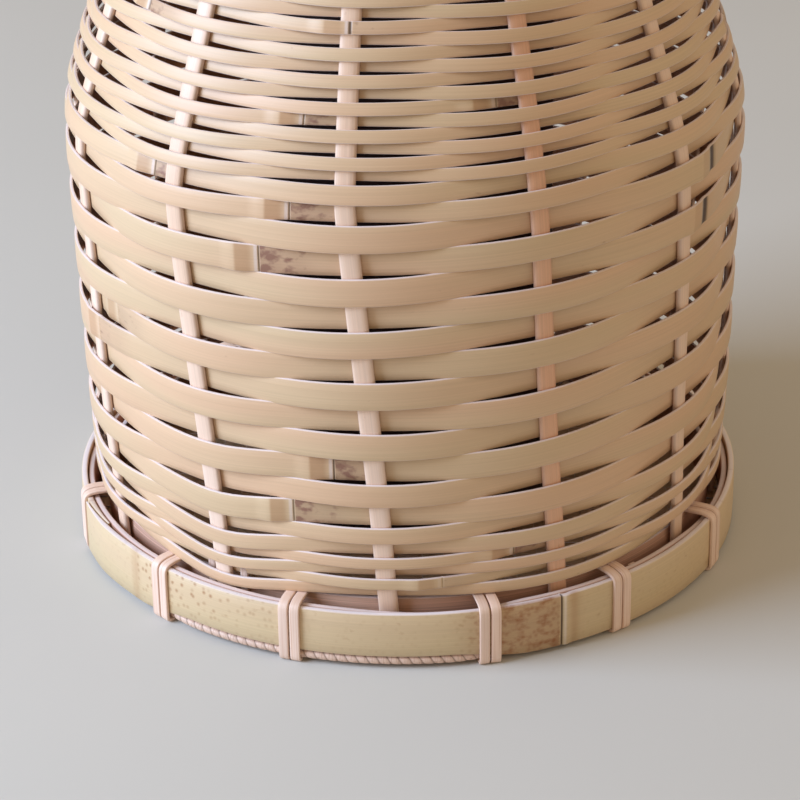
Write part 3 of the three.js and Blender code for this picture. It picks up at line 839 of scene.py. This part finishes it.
def weaver(letter, first, last, splice, start):
    """A helix that swings out and in along a cosine, with nodes; its start is tucked inside."""
    rows_up, swing = WEAVER_ORDER[letter]
    nodes = NODES[letter]
    nodes = nodes[(nodes[:, 0] > first + 1) & (nodes[:, 0] < last - 1)]
    middle_height = rest_height(np.array([(first + last) / 2 / STAKES]))
    gap_length = 2 * math.pi * wall_radius(middle_height) / STAKES
    even = np.linspace(first, last, int((last - first) * SAMPLES_PER_GAP) + 1)
    fine = (nodes[:, :1] + NODE_SAMPLES / gap_length).ravel()
    gaps = np.unique(np.concatenate([even, fine]).round(4))

    turn = gaps / STAKES
    rise = row_rise(turn)
    height = rest_height(turn) + (rows_up + 0.5) * rise
    angle = stake_angle(gaps + BACK_GAPS, height)
    point, _, up = wall_place(height, angle)
    tuck = SPLICE_TUCK * (1 - fade(gaps, splice + SPLICE_HALF, splice + 2 * SPLICE_HALF))
    swung = swing * WEAVE_SWING * np.cos(np.pi * gaps) - tuck
    path = point + direction(angle) * swung[:, None]

    nodes = np.concatenate([nodes, FAR_NODE])
    off = (gaps[:, None] - nodes[:, 0]) * gap_length
    nearest = np.abs(off).argmin(axis=1)
    from_node = off[np.arange(len(gaps)), nearest]
    swelling, slit, marks = node_shape(from_node, *nodes[nearest, 1:].T)
    face = square_out(path, up)
    path = path + face * (RIDGE_HEIGHT * swelling - GROOVE_DEPTH * slit)[:, None]
    row = rise * np.hypot(1, wall_slope(height)) * ROW_OVERLAP
    wavy = WIDTH_WAVE * np.sin(gaps * WIDTH_WAVE_TURN + start)
    width = np.maximum(row, TAIL_WIDTH) * (1 + RIDGE_WIDENING * swelling + wavy)
    return strip(path, face, up, width, WEAVER_THICKNESS, start=start, marks=marks)


start = 0.0
for name, (from_turn, to_turn) in WEAVER_LENGTHS.items():
    for letter, splice_gap in SPLICE_GAP.items():
        splice = from_turn * STAKES + splice_gap
        first, tucked = splice - SPLICE_HALF, splice
        last = to_turn * STAKES + splice_gap + SPLICE_HALF
        if from_turn == 0:
            first, tucked = FIRST_GAP, -STAKES
        if to_turn == ALL_TURNS:
            last = LAST_GAP
        shape = weaver(letter, first, last, tucked, start)
        make_piece(f"bamboo_{name}_{letter}", f"{name}_{letter}", weaver_bamboo, shape)
        start += WEAVER_MAP_STEP
print(2 * len(WEAVER_LENGTHS), "lengths of weaver")

# %% [markdown]
# ## Bands of the foot and the mouth
# A band is a broad strip bent round on edge. The outer bands are long enough for their pared ends
# to lie over each other in a scarf joint, which a lashing hides; the others meet end to end at the
# back. A torus would have no ends at all, so the edges, the radius and the thickness are functions
# of the angle instead. At both sides of the front the foot band stands lower and hides the hoop.

# %% Bands
BAND_SAMPLES = 420
SCARF_ANGLE, SCARF_STEP, SCARF_TIP, SCARF_GAP = 9.0, 0.8, 0.5, 0.3
BUTT_GAP = 0.5
FOOT_BAND_LOW, FOOT_BAND_HIGH = 3.4, 15.1
RIM_LOW, RIM_HIGH = 200.57, 210.57
# Angles between which the foot band goes down over the hoop and up again
DROP_LEFT, DROP_RIGHT = ((-178, -168), (-142, -128)), ((-84, -70), (10, 40))
# Angles between which the filler band goes up and down again
LIFT_LEFT, LIFT_RIGHT = ((-200, -150), (-105, -85)), ((-80, -70), (-40, -25))
# Where each band starts on its map, so that no two show the same grain
MAP_START = {
    "foot_band": 0.0, "rim_outer_band": 900.0, "foot_filler_band": 1700.0,
    "foot_inner_band": 2500.0, "rim_inner_band": 3300.0, "rim_cover": 4200.0,
}
UNMARKED = {"stain": 0.0, "groove": 0.0}


def between(angle, rise, fall):
    """0, then 1 after the rise, and 0 again after the fall."""
    return fade(angle, *rise) * (1 - fade(angle, *fall))


def hides_hoop(angle):
    """1 at both sides of the front, where the foot band hides the hoop, and 0 elsewhere."""
    at = half_turn(angle)
    return between(at, *DROP_LEFT) + between(at, *DROP_RIGHT)


def band(low, high, inner, thickness, angle, start, marks=None):
    """A strip on edge round the axis; its edges, radius and thickness may change with the angle."""
    level = direction(angle)
    middle = level * (inner + thickness / 2)[:, None]
    middle[:, 2] = (low + high) / 2
    up = np.tile(UPRIGHT, (len(angle), 1))
    return strip(middle, level, up, high - low, thickness, start=start, marks=marks or UNMARKED)


def scarfed(inner, thickness, turn):
    """Radius and thickness of a band with a scarf joint, by the angle from its outer tip."""
    knots = [0, SCARF_ANGLE, 2 * SCARF_ANGLE, 360, 360 + SCARF_ANGLE]
    steps = [thickness + SCARF_GAP, SCARF_STEP, 0, 0, 0]
    thicknesses = [SCARF_TIP, thickness, thickness, thickness, SCARF_TIP]
    return inner + np.interp(turn, knots, steps), np.interp(turn, knots, thicknesses)


def butted(low, high, inner, thickness, lift, start):
    """A band whose ends meet at the back; it may stand higher at both sides of the front."""
    reach = 360 - math.degrees(BUTT_GAP / inner)
    angle = FRONT_STAKE_ANGLE - 180 + np.linspace(0, reach, BAND_SAMPLES)
    top = high + lift * (between(angle, *LIFT_LEFT) + between(angle, *LIFT_RIGHT))
    ones = np.ones(BAND_SAMPLES)
    return band(low, top, inner * ones, thickness * ones, angle, start)


print("bands between", FOOT_BAND_LOW, "and", RIM_HIGH, "mm")

# %% [markdown]
# The foot band is the piece that the eye meets first. Its node stands to the right of the front:
# a step in the band with brown mottling before it and a brown smear after it, and a painted
# highlight on the ridge of the step. Small brown freckles lie at the left. Marks like these could be
# painted, but here they are bells of the angle, measured from the node, which set how far each noise
# pattern of the finish shows.

# %% Foot band and rim band
FOOT_BAND_RADIUS, FOOT_BAND_THICKNESS, FOOT_SCARF_START = 85.43, 1.6, -162.6
RIM_BAND_RADIUS, RIM_BAND_THICKNESS, RIM_SCARF_START = 62.72, 1.6, 99.9
BAND_DROP = 2.2
BAND_NODE_ANGLE = -64.9
BAND_NODE_REACH, BAND_NODE_SAMPLES = 3, 90
# Strength, degrees from the node, spread in degrees
STEP_UP, STEP_BACK = (0.35, 0.9, 0.7), (-0.35, 0, 0.16)
# The pale ridge is a painted highlight on the slope after the step that faces the light
DARK_LINE, RIDGE_HIGHLIGHT = (0.9, 0, 0.18), (0.3, 0.55, 0.2)
SMEAR_BY_NODE, SMEAR_AT_LEFT = (0.36, 2.3, 1.0), (0.3, -77.6, 1.0)
# Angles at which the marks come and go
MOTTLED = ((-85, -75), (BAND_NODE_ANGLE - 0.6, BAND_NODE_ANGLE))
FRECKLED, FRECKLES_THIN = ((-145, -139), (-114, -108)), (-124, -119)
MOTTLE_STAIN, MOTTLE_BROWN, MOTTLE_FRECKLES = 0.72, 0.16, 0.4
FRECKLES_LEFT, FRECKLES_LOST, FRECKLES_ALL = 0.45, 0.6, 0.08
# More freckles towards the upper edge
UPPER_HALF = IS_FACE * (1 + np.clip(SPLIT_OUTLINE[:, 0], -0.8, 0.4))
# At the thin tip of the scarf the pale edges are painted half as pale: painted shade over the bright
# highlight the tip catches
TIP_DIMMING_TURN, TIP_DIMMING_SHARE = (350, 361), 0.5


def bell(angle, strength, off, spread):
    """strength * e^(-(distance / spread)^2), by the angle from a place near the band's node."""
    return strength * np.exp(-((angle - BAND_NODE_ANGLE - off) / spread) ** 2)


even = np.linspace(0, 360 + SCARF_ANGLE, BAND_SAMPLES)
fine = np.linspace(-BAND_NODE_REACH, BAND_NODE_REACH, BAND_NODE_SAMPLES)
turn = np.unique(np.concatenate([even, BAND_NODE_ANGLE - FOOT_SCARF_START + fine]).round(4))
angle = FOOT_SCARF_START + turn
radius, thick = scarfed(FOOT_BAND_RADIUS, FOOT_BAND_THICKNESS, turn)
radius = radius + bell(angle, *STEP_UP) + bell(angle, *STEP_BACK)
mottled = between(angle, *MOTTLED)[:, None]
freckled = FRECKLES_LEFT * between(angle, *FRECKLED)
freckled = (freckled * (1 - FRECKLES_LOST * fade(angle, *FRECKLES_THIN)))[:, None]
smeared = (bell(angle, *SMEAR_BY_NODE) + bell(angle, *SMEAR_AT_LEFT))[:, None]
# Painted shade on the edges of the scarf's thin tip
tip_dimming = (TIP_DIMMING_SHARE * fade(turn, *TIP_DIMMING_TURN))[:, None]
foot_marks = {
    "stain": MOTTLE_STAIN * mottled * IS_SKIN,
    "freckle": freckled * UPPER_HALF + (FRECKLES_ALL + MOTTLE_FRECKLES * mottled) * IS_FACE,
    "browned": (smeared + MOTTLE_BROWN * mottled) * IS_SKIN,
    "groove": bell(angle, *DARK_LINE)[:, None] * IS_SKIN,
    "edge": np.maximum(IS_EDGE * (1 - tip_dimming), bell(angle, *RIDGE_HIGHLIGHT)[:, None] * IS_SKIN),
}
foot_low = FOOT_BAND_LOW - BAND_DROP * hides_hoop(angle)
foot_band = band(foot_low, FOOT_BAND_HIGH, radius, thick, angle, MAP_START["foot_band"], foot_marks)
make_piece("bamboo_foot_band", "foot_band", band_bamboo, foot_band)

radius, thick = scarfed(RIM_BAND_RADIUS, RIM_BAND_THICKNESS, even)
rim_band = band(RIM_LOW, RIM_HIGH, radius, thick, RIM_SCARF_START + even,
                MAP_START["rim_outer_band"])
make_piece("bamboo_rim_outer_band", "rim_outer_band", band_bamboo, rim_band)
print("lowest edge of the foot band", round(float(foot_low.min()), 1), "mm")

# %% [markdown]
# The other bands are split from the inner wood of the pole and meet end to end at the back. One
# fills the foot ring between the stakes and the foot band, and shows as a second pale edge. One
# each lies inside the stakes at the foot and at the mouth. A table and one loop make all three.

# %% Bands with butted ends
# Low edge, high edge, inner radius, thickness, and how much higher the band stands at the sides
BUTTED_BANDS = {
    "foot_filler_band": (FOOT_BAND_LOW, 14.0, 83.63, 1.5, 1.0),
    "foot_inner_band": (5.1, 15.8, 78.58, 1.5, 0.0),
    "rim_inner_band": (RIM_LOW, RIM_HIGH, 58.85, 1.6, 0.0),
}
for node, sizes in BUTTED_BANDS.items():
    make_piece(f"bamboo_{node}", node, inner_bamboo, butted(*sizes, MAP_START[node]))
print(len(BUTTED_BANDS), "bands with butted ends")

# %% [markdown]
# ## Hoop of the foot
# Under the foot band lies a hoop wound closely with rattan, which the basket stands on. Winding a
# strip two hundred times would be slow and heavy, so the ribs are part of one ring: the outline is
# pushed out along a row of arches, one for each turn of the strip, which lean as a winding does.
# Where the foot band covers it, its outer side is drawn in.

# %% Wrapped hoop
HOOP_LOW, HOOP_HIGH, HOOP_INNER, HOOP_OUTER = 0.9, 3.1, 81.03, 87.03
HOOP_TURNS, SAMPLES_PER_RIB, HOOP_SIDES = 208, 9, 18
HOOP_TUCK, HOOP_SQUARENESS = 1.75, 0.6
RIB_DEPTH, RIB_SLANT, RIB_ROUNDNESS, RIB_END = 0.17, 2, 2.5, 0.999
# Darkness and sharpness of the painted shade between two turns
RIB_SHADE, RIB_SHADE_POWER = 0.75, 8


def squared(wave):
    """A cosine or sine with its size raised to a power under 1, which makes a circle boxy."""
    return np.sign(wave) * np.abs(wave) ** HOOP_SQUARENESS


def wrapped_hoop():
    """A ring of boxy outline, pushed out by arches sqrt(1 - x^2.5) for each turn of the strip."""
    phase = 2 * np.pi * np.arange(HOOP_SIDES) / HOOP_SIDES
    angle = np.linspace(0, 360, HOOP_TURNS * SAMPLES_PER_RIB, endpoint=False)
    rib = (angle[:, None] / 360 * HOOP_TURNS + RIB_SLANT * phase / (2 * np.pi)) % 1 * 2 - 1
    arch = np.sqrt(1 - np.minimum(np.abs(rib), RIB_END) ** RIB_ROUNDNESS)
    sunk = RIB_DEPTH * (1 - arch)
    outer = HOOP_OUTER - HOOP_TUCK * hides_hoop(angle)[:, None]
    radius = (HOOP_INNER + outer) / 2 + ((outer - HOOP_INNER) / 2 - sunk) * squared(np.cos(phase))
    points = direction(angle)[:, None] * radius[..., None]
    half_height = (HOOP_HIGH - HOOP_LOW) / 2
    points[..., 2] = HOOP_LOW + half_height + (half_height - sunk) * squared(np.sin(phase))
    girth = 2 * (HOOP_OUTER - HOOP_INNER) + 2 * (HOOP_HIGH - HOOP_LOW)
    around = np.linspace(0, girth, HOOP_SIDES + 1)
    length = np.linspace(0, np.pi * (HOOP_INNER + HOOP_OUTER), len(angle) + 1)
    # Painted shade in the crease between two turns of the strip
    groove = {"groove": RIB_SHADE * np.abs(rib) ** RIB_SHADE_POWER}
    shape = swept(points, length, around, is_loop=True, marks=groove)
    # The strip runs round the hoop's outline, so its map is turned
    shape["places"] = shape["places"][..., ::-1]
    return shape


make_piece("rattan_foot_hoop", "foot_hoop", hoop_rattan, wrapped_hoop())
print("hoop with", HOOP_TURNS, "turns of rattan")

# %% [markdown]
# ## Cover of the rim
# A strip lies flat on the upper edges of the rim and hides the ends of the stakes. It is the same
# strip as a band, turned so that its skin looks up, and its ends are joined without a mark.

# %% Rim cover
COVER_RADIUS, COVER_HEIGHT, COVER_WIDTH, COVER_THICKNESS = 61.59, 211.67, 5.4, 1.6


def cover_strip():
    """A closed circle of flat strip, crowned upwards."""
    level = direction(np.linspace(0, 360, BAND_SAMPLES, endpoint=False))
    path = level * COVER_RADIUS + UPRIGHT * COVER_HEIGHT
    up = np.tile(UPRIGHT, (BAND_SAMPLES, 1))
    return strip(path, up, level, COVER_WIDTH, COVER_THICKNESS, start=MAP_START["rim_cover"],
                 is_loop=True, marks=UNMARKED)


make_piece("bamboo_rim_cover", "rim_cover", weaver_bamboo, cover_strip())
print("rim cover", COVER_WIDTH, "mm wide")

# %% [markdown]
# ## Lashings
# Rattan strips are wound twice round the foot ring between the stakes: up the inside, in under the
# lowest weaver, over the band, down its face and under the hoop. The winding is a closed outline in
# the plane through the axis. Its corners could be bevelled, but averaging the points rounds them as
# wet rattan does by itself. The second turn lies beside the first, and the step from one to the
# other is on the inner side, where it doesn't show.

# %% Winding paths
LASHING_WIDTH, LASHING_THICKNESS = 2.5, 0.85
LASHING_TURNS, LASHING_STEP, STEP_START = 2, 2.9, 0.85
LASHING_SAMPLES = 150
LASHING_MAP_STEP = 260.0
UNGROOVED = {"groove": 0.0}
# Radius and height of the winding's middle line
FOOT_WINDING = np.array([
    [77.65, 10.4], [77.65, 15.6], [78.1, 16.1], [84.5, 16.1], [86.1, 15.85], [87.0, 15.45],
    [87.45, 14.7], [87.55, 13.5], [87.55, 1.5], [87.3, 0.75], [86.6, 0.43], [80.7, 0.43],
    [77.65, 2.6],
])
RIM_WINDING = np.array([
    [58.08, 205.5], [58.08, 212.54], [58.48, 212.91], [64.48, 212.91], [64.88, 212.54],
    [64.88, 200.09], [58.08, 200.09],
])


def rounded(outline):
    """Evenly spaced points on a closed outline, each averaged with its two neighbours."""
    closed = np.concatenate([outline, outline[:1]])
    lengths = np.linalg.norm(np.diff(closed, axis=0), axis=1)
    length = np.concatenate([[0], np.cumsum(lengths)])
    at = np.linspace(0, length[-1], LASHING_SAMPLES, endpoint=False)
    points = np.stack([np.interp(at, length, closed[:, axis]) for axis in (0, 1)], axis=1)
    return (points + np.roll(points, 1, axis=0) + np.roll(points, -1, axis=0)) / 3


def lashing(outline, angle, start):
    """The rounded outline run round twice; it steps aside by one strip on the hidden inner side."""
    sample = np.arange(LASHING_TURNS * LASHING_SAMPLES + 1)
    flat = rounded(outline)[sample % LASHING_SAMPLES]
    lap = sample / LASHING_SAMPLES
    strips = np.minimum(np.floor(lap) + fade(lap % 1, STEP_START, 1), LASHING_TURNS - 1)
    step = (strips - (LASHING_TURNS - 1) / 2) * LASHING_STEP
    level = direction(np.array([angle]))
    side = np.cross(UPRIGHT, level)
    path = level * flat[:, :1] + side * step[:, None] + UPRIGHT * flat[:, 1:]
    across = np.tile(side, (len(sample), 1))
    return strip(path, -square_out(path, across), across, LASHING_WIDTH, LASHING_THICKNESS,
                 start=start, marks=UNGROOVED)


print("foot winding", len(FOOT_WINDING), "corners, rim winding", len(RIM_WINDING))

# %% [markdown]
# The lashings of the foot were pulled tight one after another and so drifted from the middle
# between two stakes. Their places repeat round the basket, because only one side is known. Here
# and there a cut end of the strip shows behind the lowest rows.

# %% Lashings of the foot and the rim
# Degrees from the middle between two stakes
FOOT_DRIFT = [1.5, -4.6, -7.5, 3.1, 3.3, -1.0]
# Number of the lashing, and the angle, radius and top of its cut end, which stands in the ring
CUT_ENDS = {10: (-127.3, 80.5, 19.6), 11: (-120.3, 80.5, 19.4), 1: (-48.4, 83.15, 14.5)}
CUT_END_LOW, CUT_END_WIDTH, CUT_END_SAMPLES, CUT_END_MAP = 8.0, 2.2, 8, 4000.0


def cut_end(angle, radius, top):
    """A short strip straight up at one angle and radius."""
    height = np.linspace(CUT_END_LOW, top, CUT_END_SAMPLES)
    level = direction(np.full(CUT_END_SAMPLES, angle))
    path = level * radius + UPRIGHT * height[:, None]
    return strip(path, level, np.cross(UPRIGHT, level), CUT_END_WIDTH, LASHING_THICKNESS,
                 start=CUT_END_MAP, marks=UNGROOVED)


for number in range(STAKES):
    foot_angle = float(stake_angle(number + 0.5, FOOT_BAND_HIGH))
    foot_angle += FOOT_DRIFT[number % len(FOOT_DRIFT)]
    rim_angle = float(stake_angle(number + 0.5, RIM_LOW))
    map_start = LASHING_MAP_STEP * number
    foot_shapes = [lashing(FOOT_WINDING, foot_angle, map_start)]
    if number in CUT_ENDS:
        foot_shapes.append(cut_end(*CUT_ENDS[number]))
    foot_node, rim_node = f"foot_lashing_{number + 1:02d}", f"rim_lashing_{number + 1:02d}"
    make_piece(f"rattan_{foot_node}", foot_node, lashing_rattan, *foot_shapes)
    rim_shape = lashing(RIM_WINDING, rim_angle, map_start)
    make_piece(f"rattan_{rim_node}", rim_node, lashing_rattan, rim_shape)
print(2 * STAKES, "lashings")

# %% [markdown]
# ## Base mat
# The floor is a mat of flat strips in plain weave, clipped to a disc and held between the hoop and
# the stakes. A disc with a woven picture on it would be flat at the edge, so each strip is made, cut
# to the chord of the circle where it lies. It rises and dips by a cosine, as the weavers do.

# %% Woven floor
MAT_RADIUS, MAT_MIDDLE = 82.9, 4.1
MAT_PITCH, MAT_STRIP_WIDTH, MAT_STRIP_THICKNESS, MAT_SWING = 6.0, 5.6, 0.5, 0.3
MAT_SAMPLES = 90
MAT_MAP_STEP, CROSSING_MAP_START = 210.0, 5000.0
MAT_COUNT = int((MAT_RADIUS - MAT_STRIP_WIDTH) / MAT_PITCH)


def mat_strip(number, is_crossing):
    """A strip along a chord of the disc, over one crossing strip and under the next."""
    off = number * MAT_PITCH
    half = math.sqrt(MAT_RADIUS ** 2 - (abs(off) + MAT_STRIP_WIDTH / 2) ** 2)
    along = np.linspace(-half, half, MAT_SAMPLES)
    over = (-1) ** number * (-1 if is_crossing else 1)
    wave = MAT_SWING * np.cos(np.pi * along / MAT_PITCH) * over
    path = np.stack([along, np.full(MAT_SAMPLES, off), MAT_MIDDLE + wave], axis=1)
    side = np.tile([0.0, 1, 0], (MAT_SAMPLES, 1))
    if is_crossing:
        path, side = path[:, [1, 0, 2]], side[:, [1, 0, 2]]
    face = square_out(path, side)
    face = face * np.sign(face[:, 2:])
    map_start = MAT_MAP_STEP * number + CROSSING_MAP_START * is_crossing
    return strip(path, face, side, MAT_STRIP_WIDTH, MAT_STRIP_THICKNESS, start=map_start,
                 marks=UNMARKED)


mat = [mat_strip(number, is_crossing) for is_crossing in (False, True)
       for number in range(-MAT_COUNT, MAT_COUNT + 1)]
make_piece("bamboo_base_mat", "base_mat", weaver_bamboo, *mat)
print(len(mat), "strips in the floor")

# %% [markdown]
# Moulded plastic: the cup for the water is a plain one from a mould. A single flat colour would
# look like a hole, so a fine grain breaks up its gloss, and larger patches are rubbed by hands.
# The grain of the mould is drawn 0.8 mm wide, coarser than it is, so that it shows.

# %% Black plastic
# Polypropylene: a fine mould grain, and patches rubbed by hands
PLASTIC_GRAIN, PLASTIC_RELIEF, PLASTIC_BUMP = 0.8, 0.1, 0.2
RUBBED_SIZE, RUBBED_ROUGHNESS = 22, (0.32, 0.58)
PLASTIC_DARK, PLASTIC_RUBBED, PLASTIC_IOR = "#302324", "#423231", 1.49


def black_plastic(name):
    """Moulded polypropylene: nearly black, so the gaps look dark, with a dull, grainy gloss."""
    finish, tree = new_finish(name)
    place = add(tree, "ShaderNodeTexCoord", {})["Object"]
    fine = add(tree, "ShaderNodeTexNoise", {
        "Vector": place, "Scale": 1 / (PLASTIC_GRAIN * MM), "Detail": 2.0})["Fac"]
    rubbed = add(tree, "ShaderNodeTexNoise", {
        "Vector": place, "Scale": 1 / (RUBBED_SIZE * MM), "Detail": 4.0})["Fac"]
    colour = layered(tree, (rubbed, linear(PLASTIC_DARK), linear(PLASTIC_RUBBED), "MIX"))
    rough = add(tree, "ShaderNodeMapRange", {
        "Value": rubbed, **limits("To", *RUBBED_ROUGHNESS)})["Result"]
    bump = add(tree, "ShaderNodeBump", {
        "Height": fine, "Strength": PLASTIC_BUMP, "Distance": PLASTIC_RELIEF * MM})["Normal"]
    surface = add(tree, "ShaderNodeBsdfPrincipled", {
        "Base Color": colour, "Roughness": rough, "Normal": bump, "IOR": PLASTIC_IOR})["BSDF"]
    add(tree, "ShaderNodeOutputMaterial", {"Surface": surface})
    return finish


# Nearly black, so that the gaps of the weave look dark, with a dull gloss
cup_plastic = black_plastic("moulded_black_plastic")
print("plastic finish", cup_plastic.name)

# %% [markdown]
# ## Water tube
# A flower basket leaks, so the water stands in a loose cup that lifts out through the mouth. A
# dark moulded cup is what the gaps in the weave show. It is an outline spun about the axis: the
# outside, a rounded lip, the inside and the floor.

# %% Moulded cup
CUP_LOW, CUP_HIGH, CUP_RADIUS, CUP_WALL, CUP_FLOOR = 5.1, 180.1, 38.0, 2.0, 3.0
CUP_SIDES = 128
AXIS_RADIUS = 0.01
# Points of the rounded corners, as radius and height from the corner that they round
OUTER_FOOT = [[-2.5, 0], [-0.7, 0.7], [0, 2.5], [0, 60]]
OUTER_LIP = [[0, -0.8], [-0.3, -0.2], [-1, 0]]
INNER_LIP = [[0.3, -0.2], [0, -0.8]]
INNER_FLOOR = [[0, 2], [-0.6, 0.6], [-2, 0]]


def spun_cup():
    """The outline of the cup, its corners rounded, turned about the axis."""
    inside, floor_height = CUP_RADIUS - CUP_WALL, CUP_LOW + CUP_FLOOR
    outline = np.concatenate([
        [[AXIS_RADIUS, CUP_LOW]],
        np.array(OUTER_FOOT) + [CUP_RADIUS, CUP_LOW],
        np.array(OUTER_LIP) + [CUP_RADIUS, CUP_HIGH],
        np.array(INNER_LIP) + [inside, CUP_HIGH],
        np.array(INNER_FLOOR) + [inside, floor_height],
        [[AXIS_RADIUS, floor_height]],
    ])
    angle = np.linspace(0, 360, CUP_SIDES, endpoint=False)
    points = direction(angle)[:, None] * outline[:, 0][None, :, None]
    points[..., 2] = outline[:, 1]
    around = np.linspace(0, 2 * np.pi * CUP_RADIUS, CUP_SIDES + 1)
    lengths = np.linalg.norm(np.diff(outline, axis=0), axis=1)
    across = np.concatenate([[0], np.cumsum(lengths), [0]])
    return swept(points, around, across, is_loop=True)


make_piece("moulded_water_tube", "water_tube", cup_plastic, spun_cup(), body="water_tube")
print("water tube", CUP_HIGH - CUP_LOW, "mm high")

# %% [markdown]
# ## Studio
# The basket stands on a plain pale floor, large enough to fill the picture from every side. A sheet
# curved up at the back would hide the horizon, but it would also show in the views from there.
# Lengths are in metres from here on.

# %% Floor
FLOOR_HALF = 4.0
FLOOR_CORNERS = [(-1, -1), (1, -1), (1, 1), (-1, 1)]
# Matt paint: an even pale grey with slow clouds of tone, a few to the metre
FLOOR_CLOUDS, FLOOR_ROUGHNESS = 6.0, 0.8
FLOOR_TONES = ("#cbc8bf", "#d0cdc4")

floor_mesh = bpy.data.meshes.new("pale_floor")
floor_points = [(x * FLOOR_HALF, y * FLOOR_HALF, 0) for x, y in FLOOR_CORNERS]
floor_mesh.from_pydata(floor_points, [], [(0, 1, 2, 3)])
floor = bpy.data.objects.new("pale_floor", floor_mesh)
scene.collection.objects.link(floor)
floor_finish, floor_tree = new_finish("matt_floor_paint")
floor_place = add(floor_tree, "ShaderNodeTexCoord", {})["Object"]
floor_cloud = add(floor_tree, "ShaderNodeTexNoise", {
    "Vector": floor_place, "Scale": FLOOR_CLOUDS})["Fac"]
floor_colour = layered(floor_tree, (floor_cloud, *map(linear, FLOOR_TONES), "MIX"))
floor_surface = add(floor_tree, "ShaderNodeBsdfPrincipled", {
    "Base Color": floor_colour, "Roughness": FLOOR_ROUGHNESS})["BSDF"]
add(floor_tree, "ShaderNodeOutputMaterial", {"Surface": floor_surface})
floor_mesh.materials.append(floor_finish)
print("floor", 2 * FLOOR_HALF, "m wide")

# %% [markdown]
# Daylight falls on the basket from the left, so one large, bluish lamp stands there, as a window.
# A weak one at the right keeps the far side from going flat. More lamps could lift the shadows,
# but the world does that evenly, with the warm light of a pale room.

# %% Lamps and world
LAMP_AIM, LAMP_SIZE = (0, 0, 0.08), 0.9
# Place, strength in watts and colour of each lamp
LAMPS = {
    "window_light": ((-1.27, -0.33, 0.68), 36.5, "#c8deff"),
    "right_fill": ((1.2, -0.2, 0.6), 2.0, "#fff0dd"),
}
ROOM_COLOUR, ROOM_STRENGTH = "#ffe8ca", 0.45


def lamp(name, place, watts, colour):
    """A square soft light that points from its place at the foot of the basket."""
    light = bpy.data.lights.new(name, "AREA")
    light.size = LAMP_SIZE
    light.energy = watts
    light.color = linear(colour)[:3]
    lit = bpy.data.objects.new(name, light)
    back = np.array(place) - np.array(LAMP_AIM)
    back = back / np.linalg.norm(back)
    right = np.cross(UPRIGHT, back)
    right = right / np.linalg.norm(right)
    matrix = np.eye(4)
    matrix[:3] = np.stack([right, np.cross(back, right), back, np.array(place)], axis=1)
    lit.matrix_world = matrix.T.tolist()
    scene.collection.objects.link(lit)


for name, settings in LAMPS.items():
    lamp(name, *settings)
world = bpy.data.worlds.new("pale_room")
world.use_nodes = True
background = world.node_tree.nodes["Background"]
background.inputs["Color"].default_value = linear(ROOM_COLOUR)
background.inputs["Strength"].default_value = ROOM_STRENGTH
scene.world = world
scene.view_settings.view_transform = "Standard"
print("studio with", len(LAMPS), "lamps")
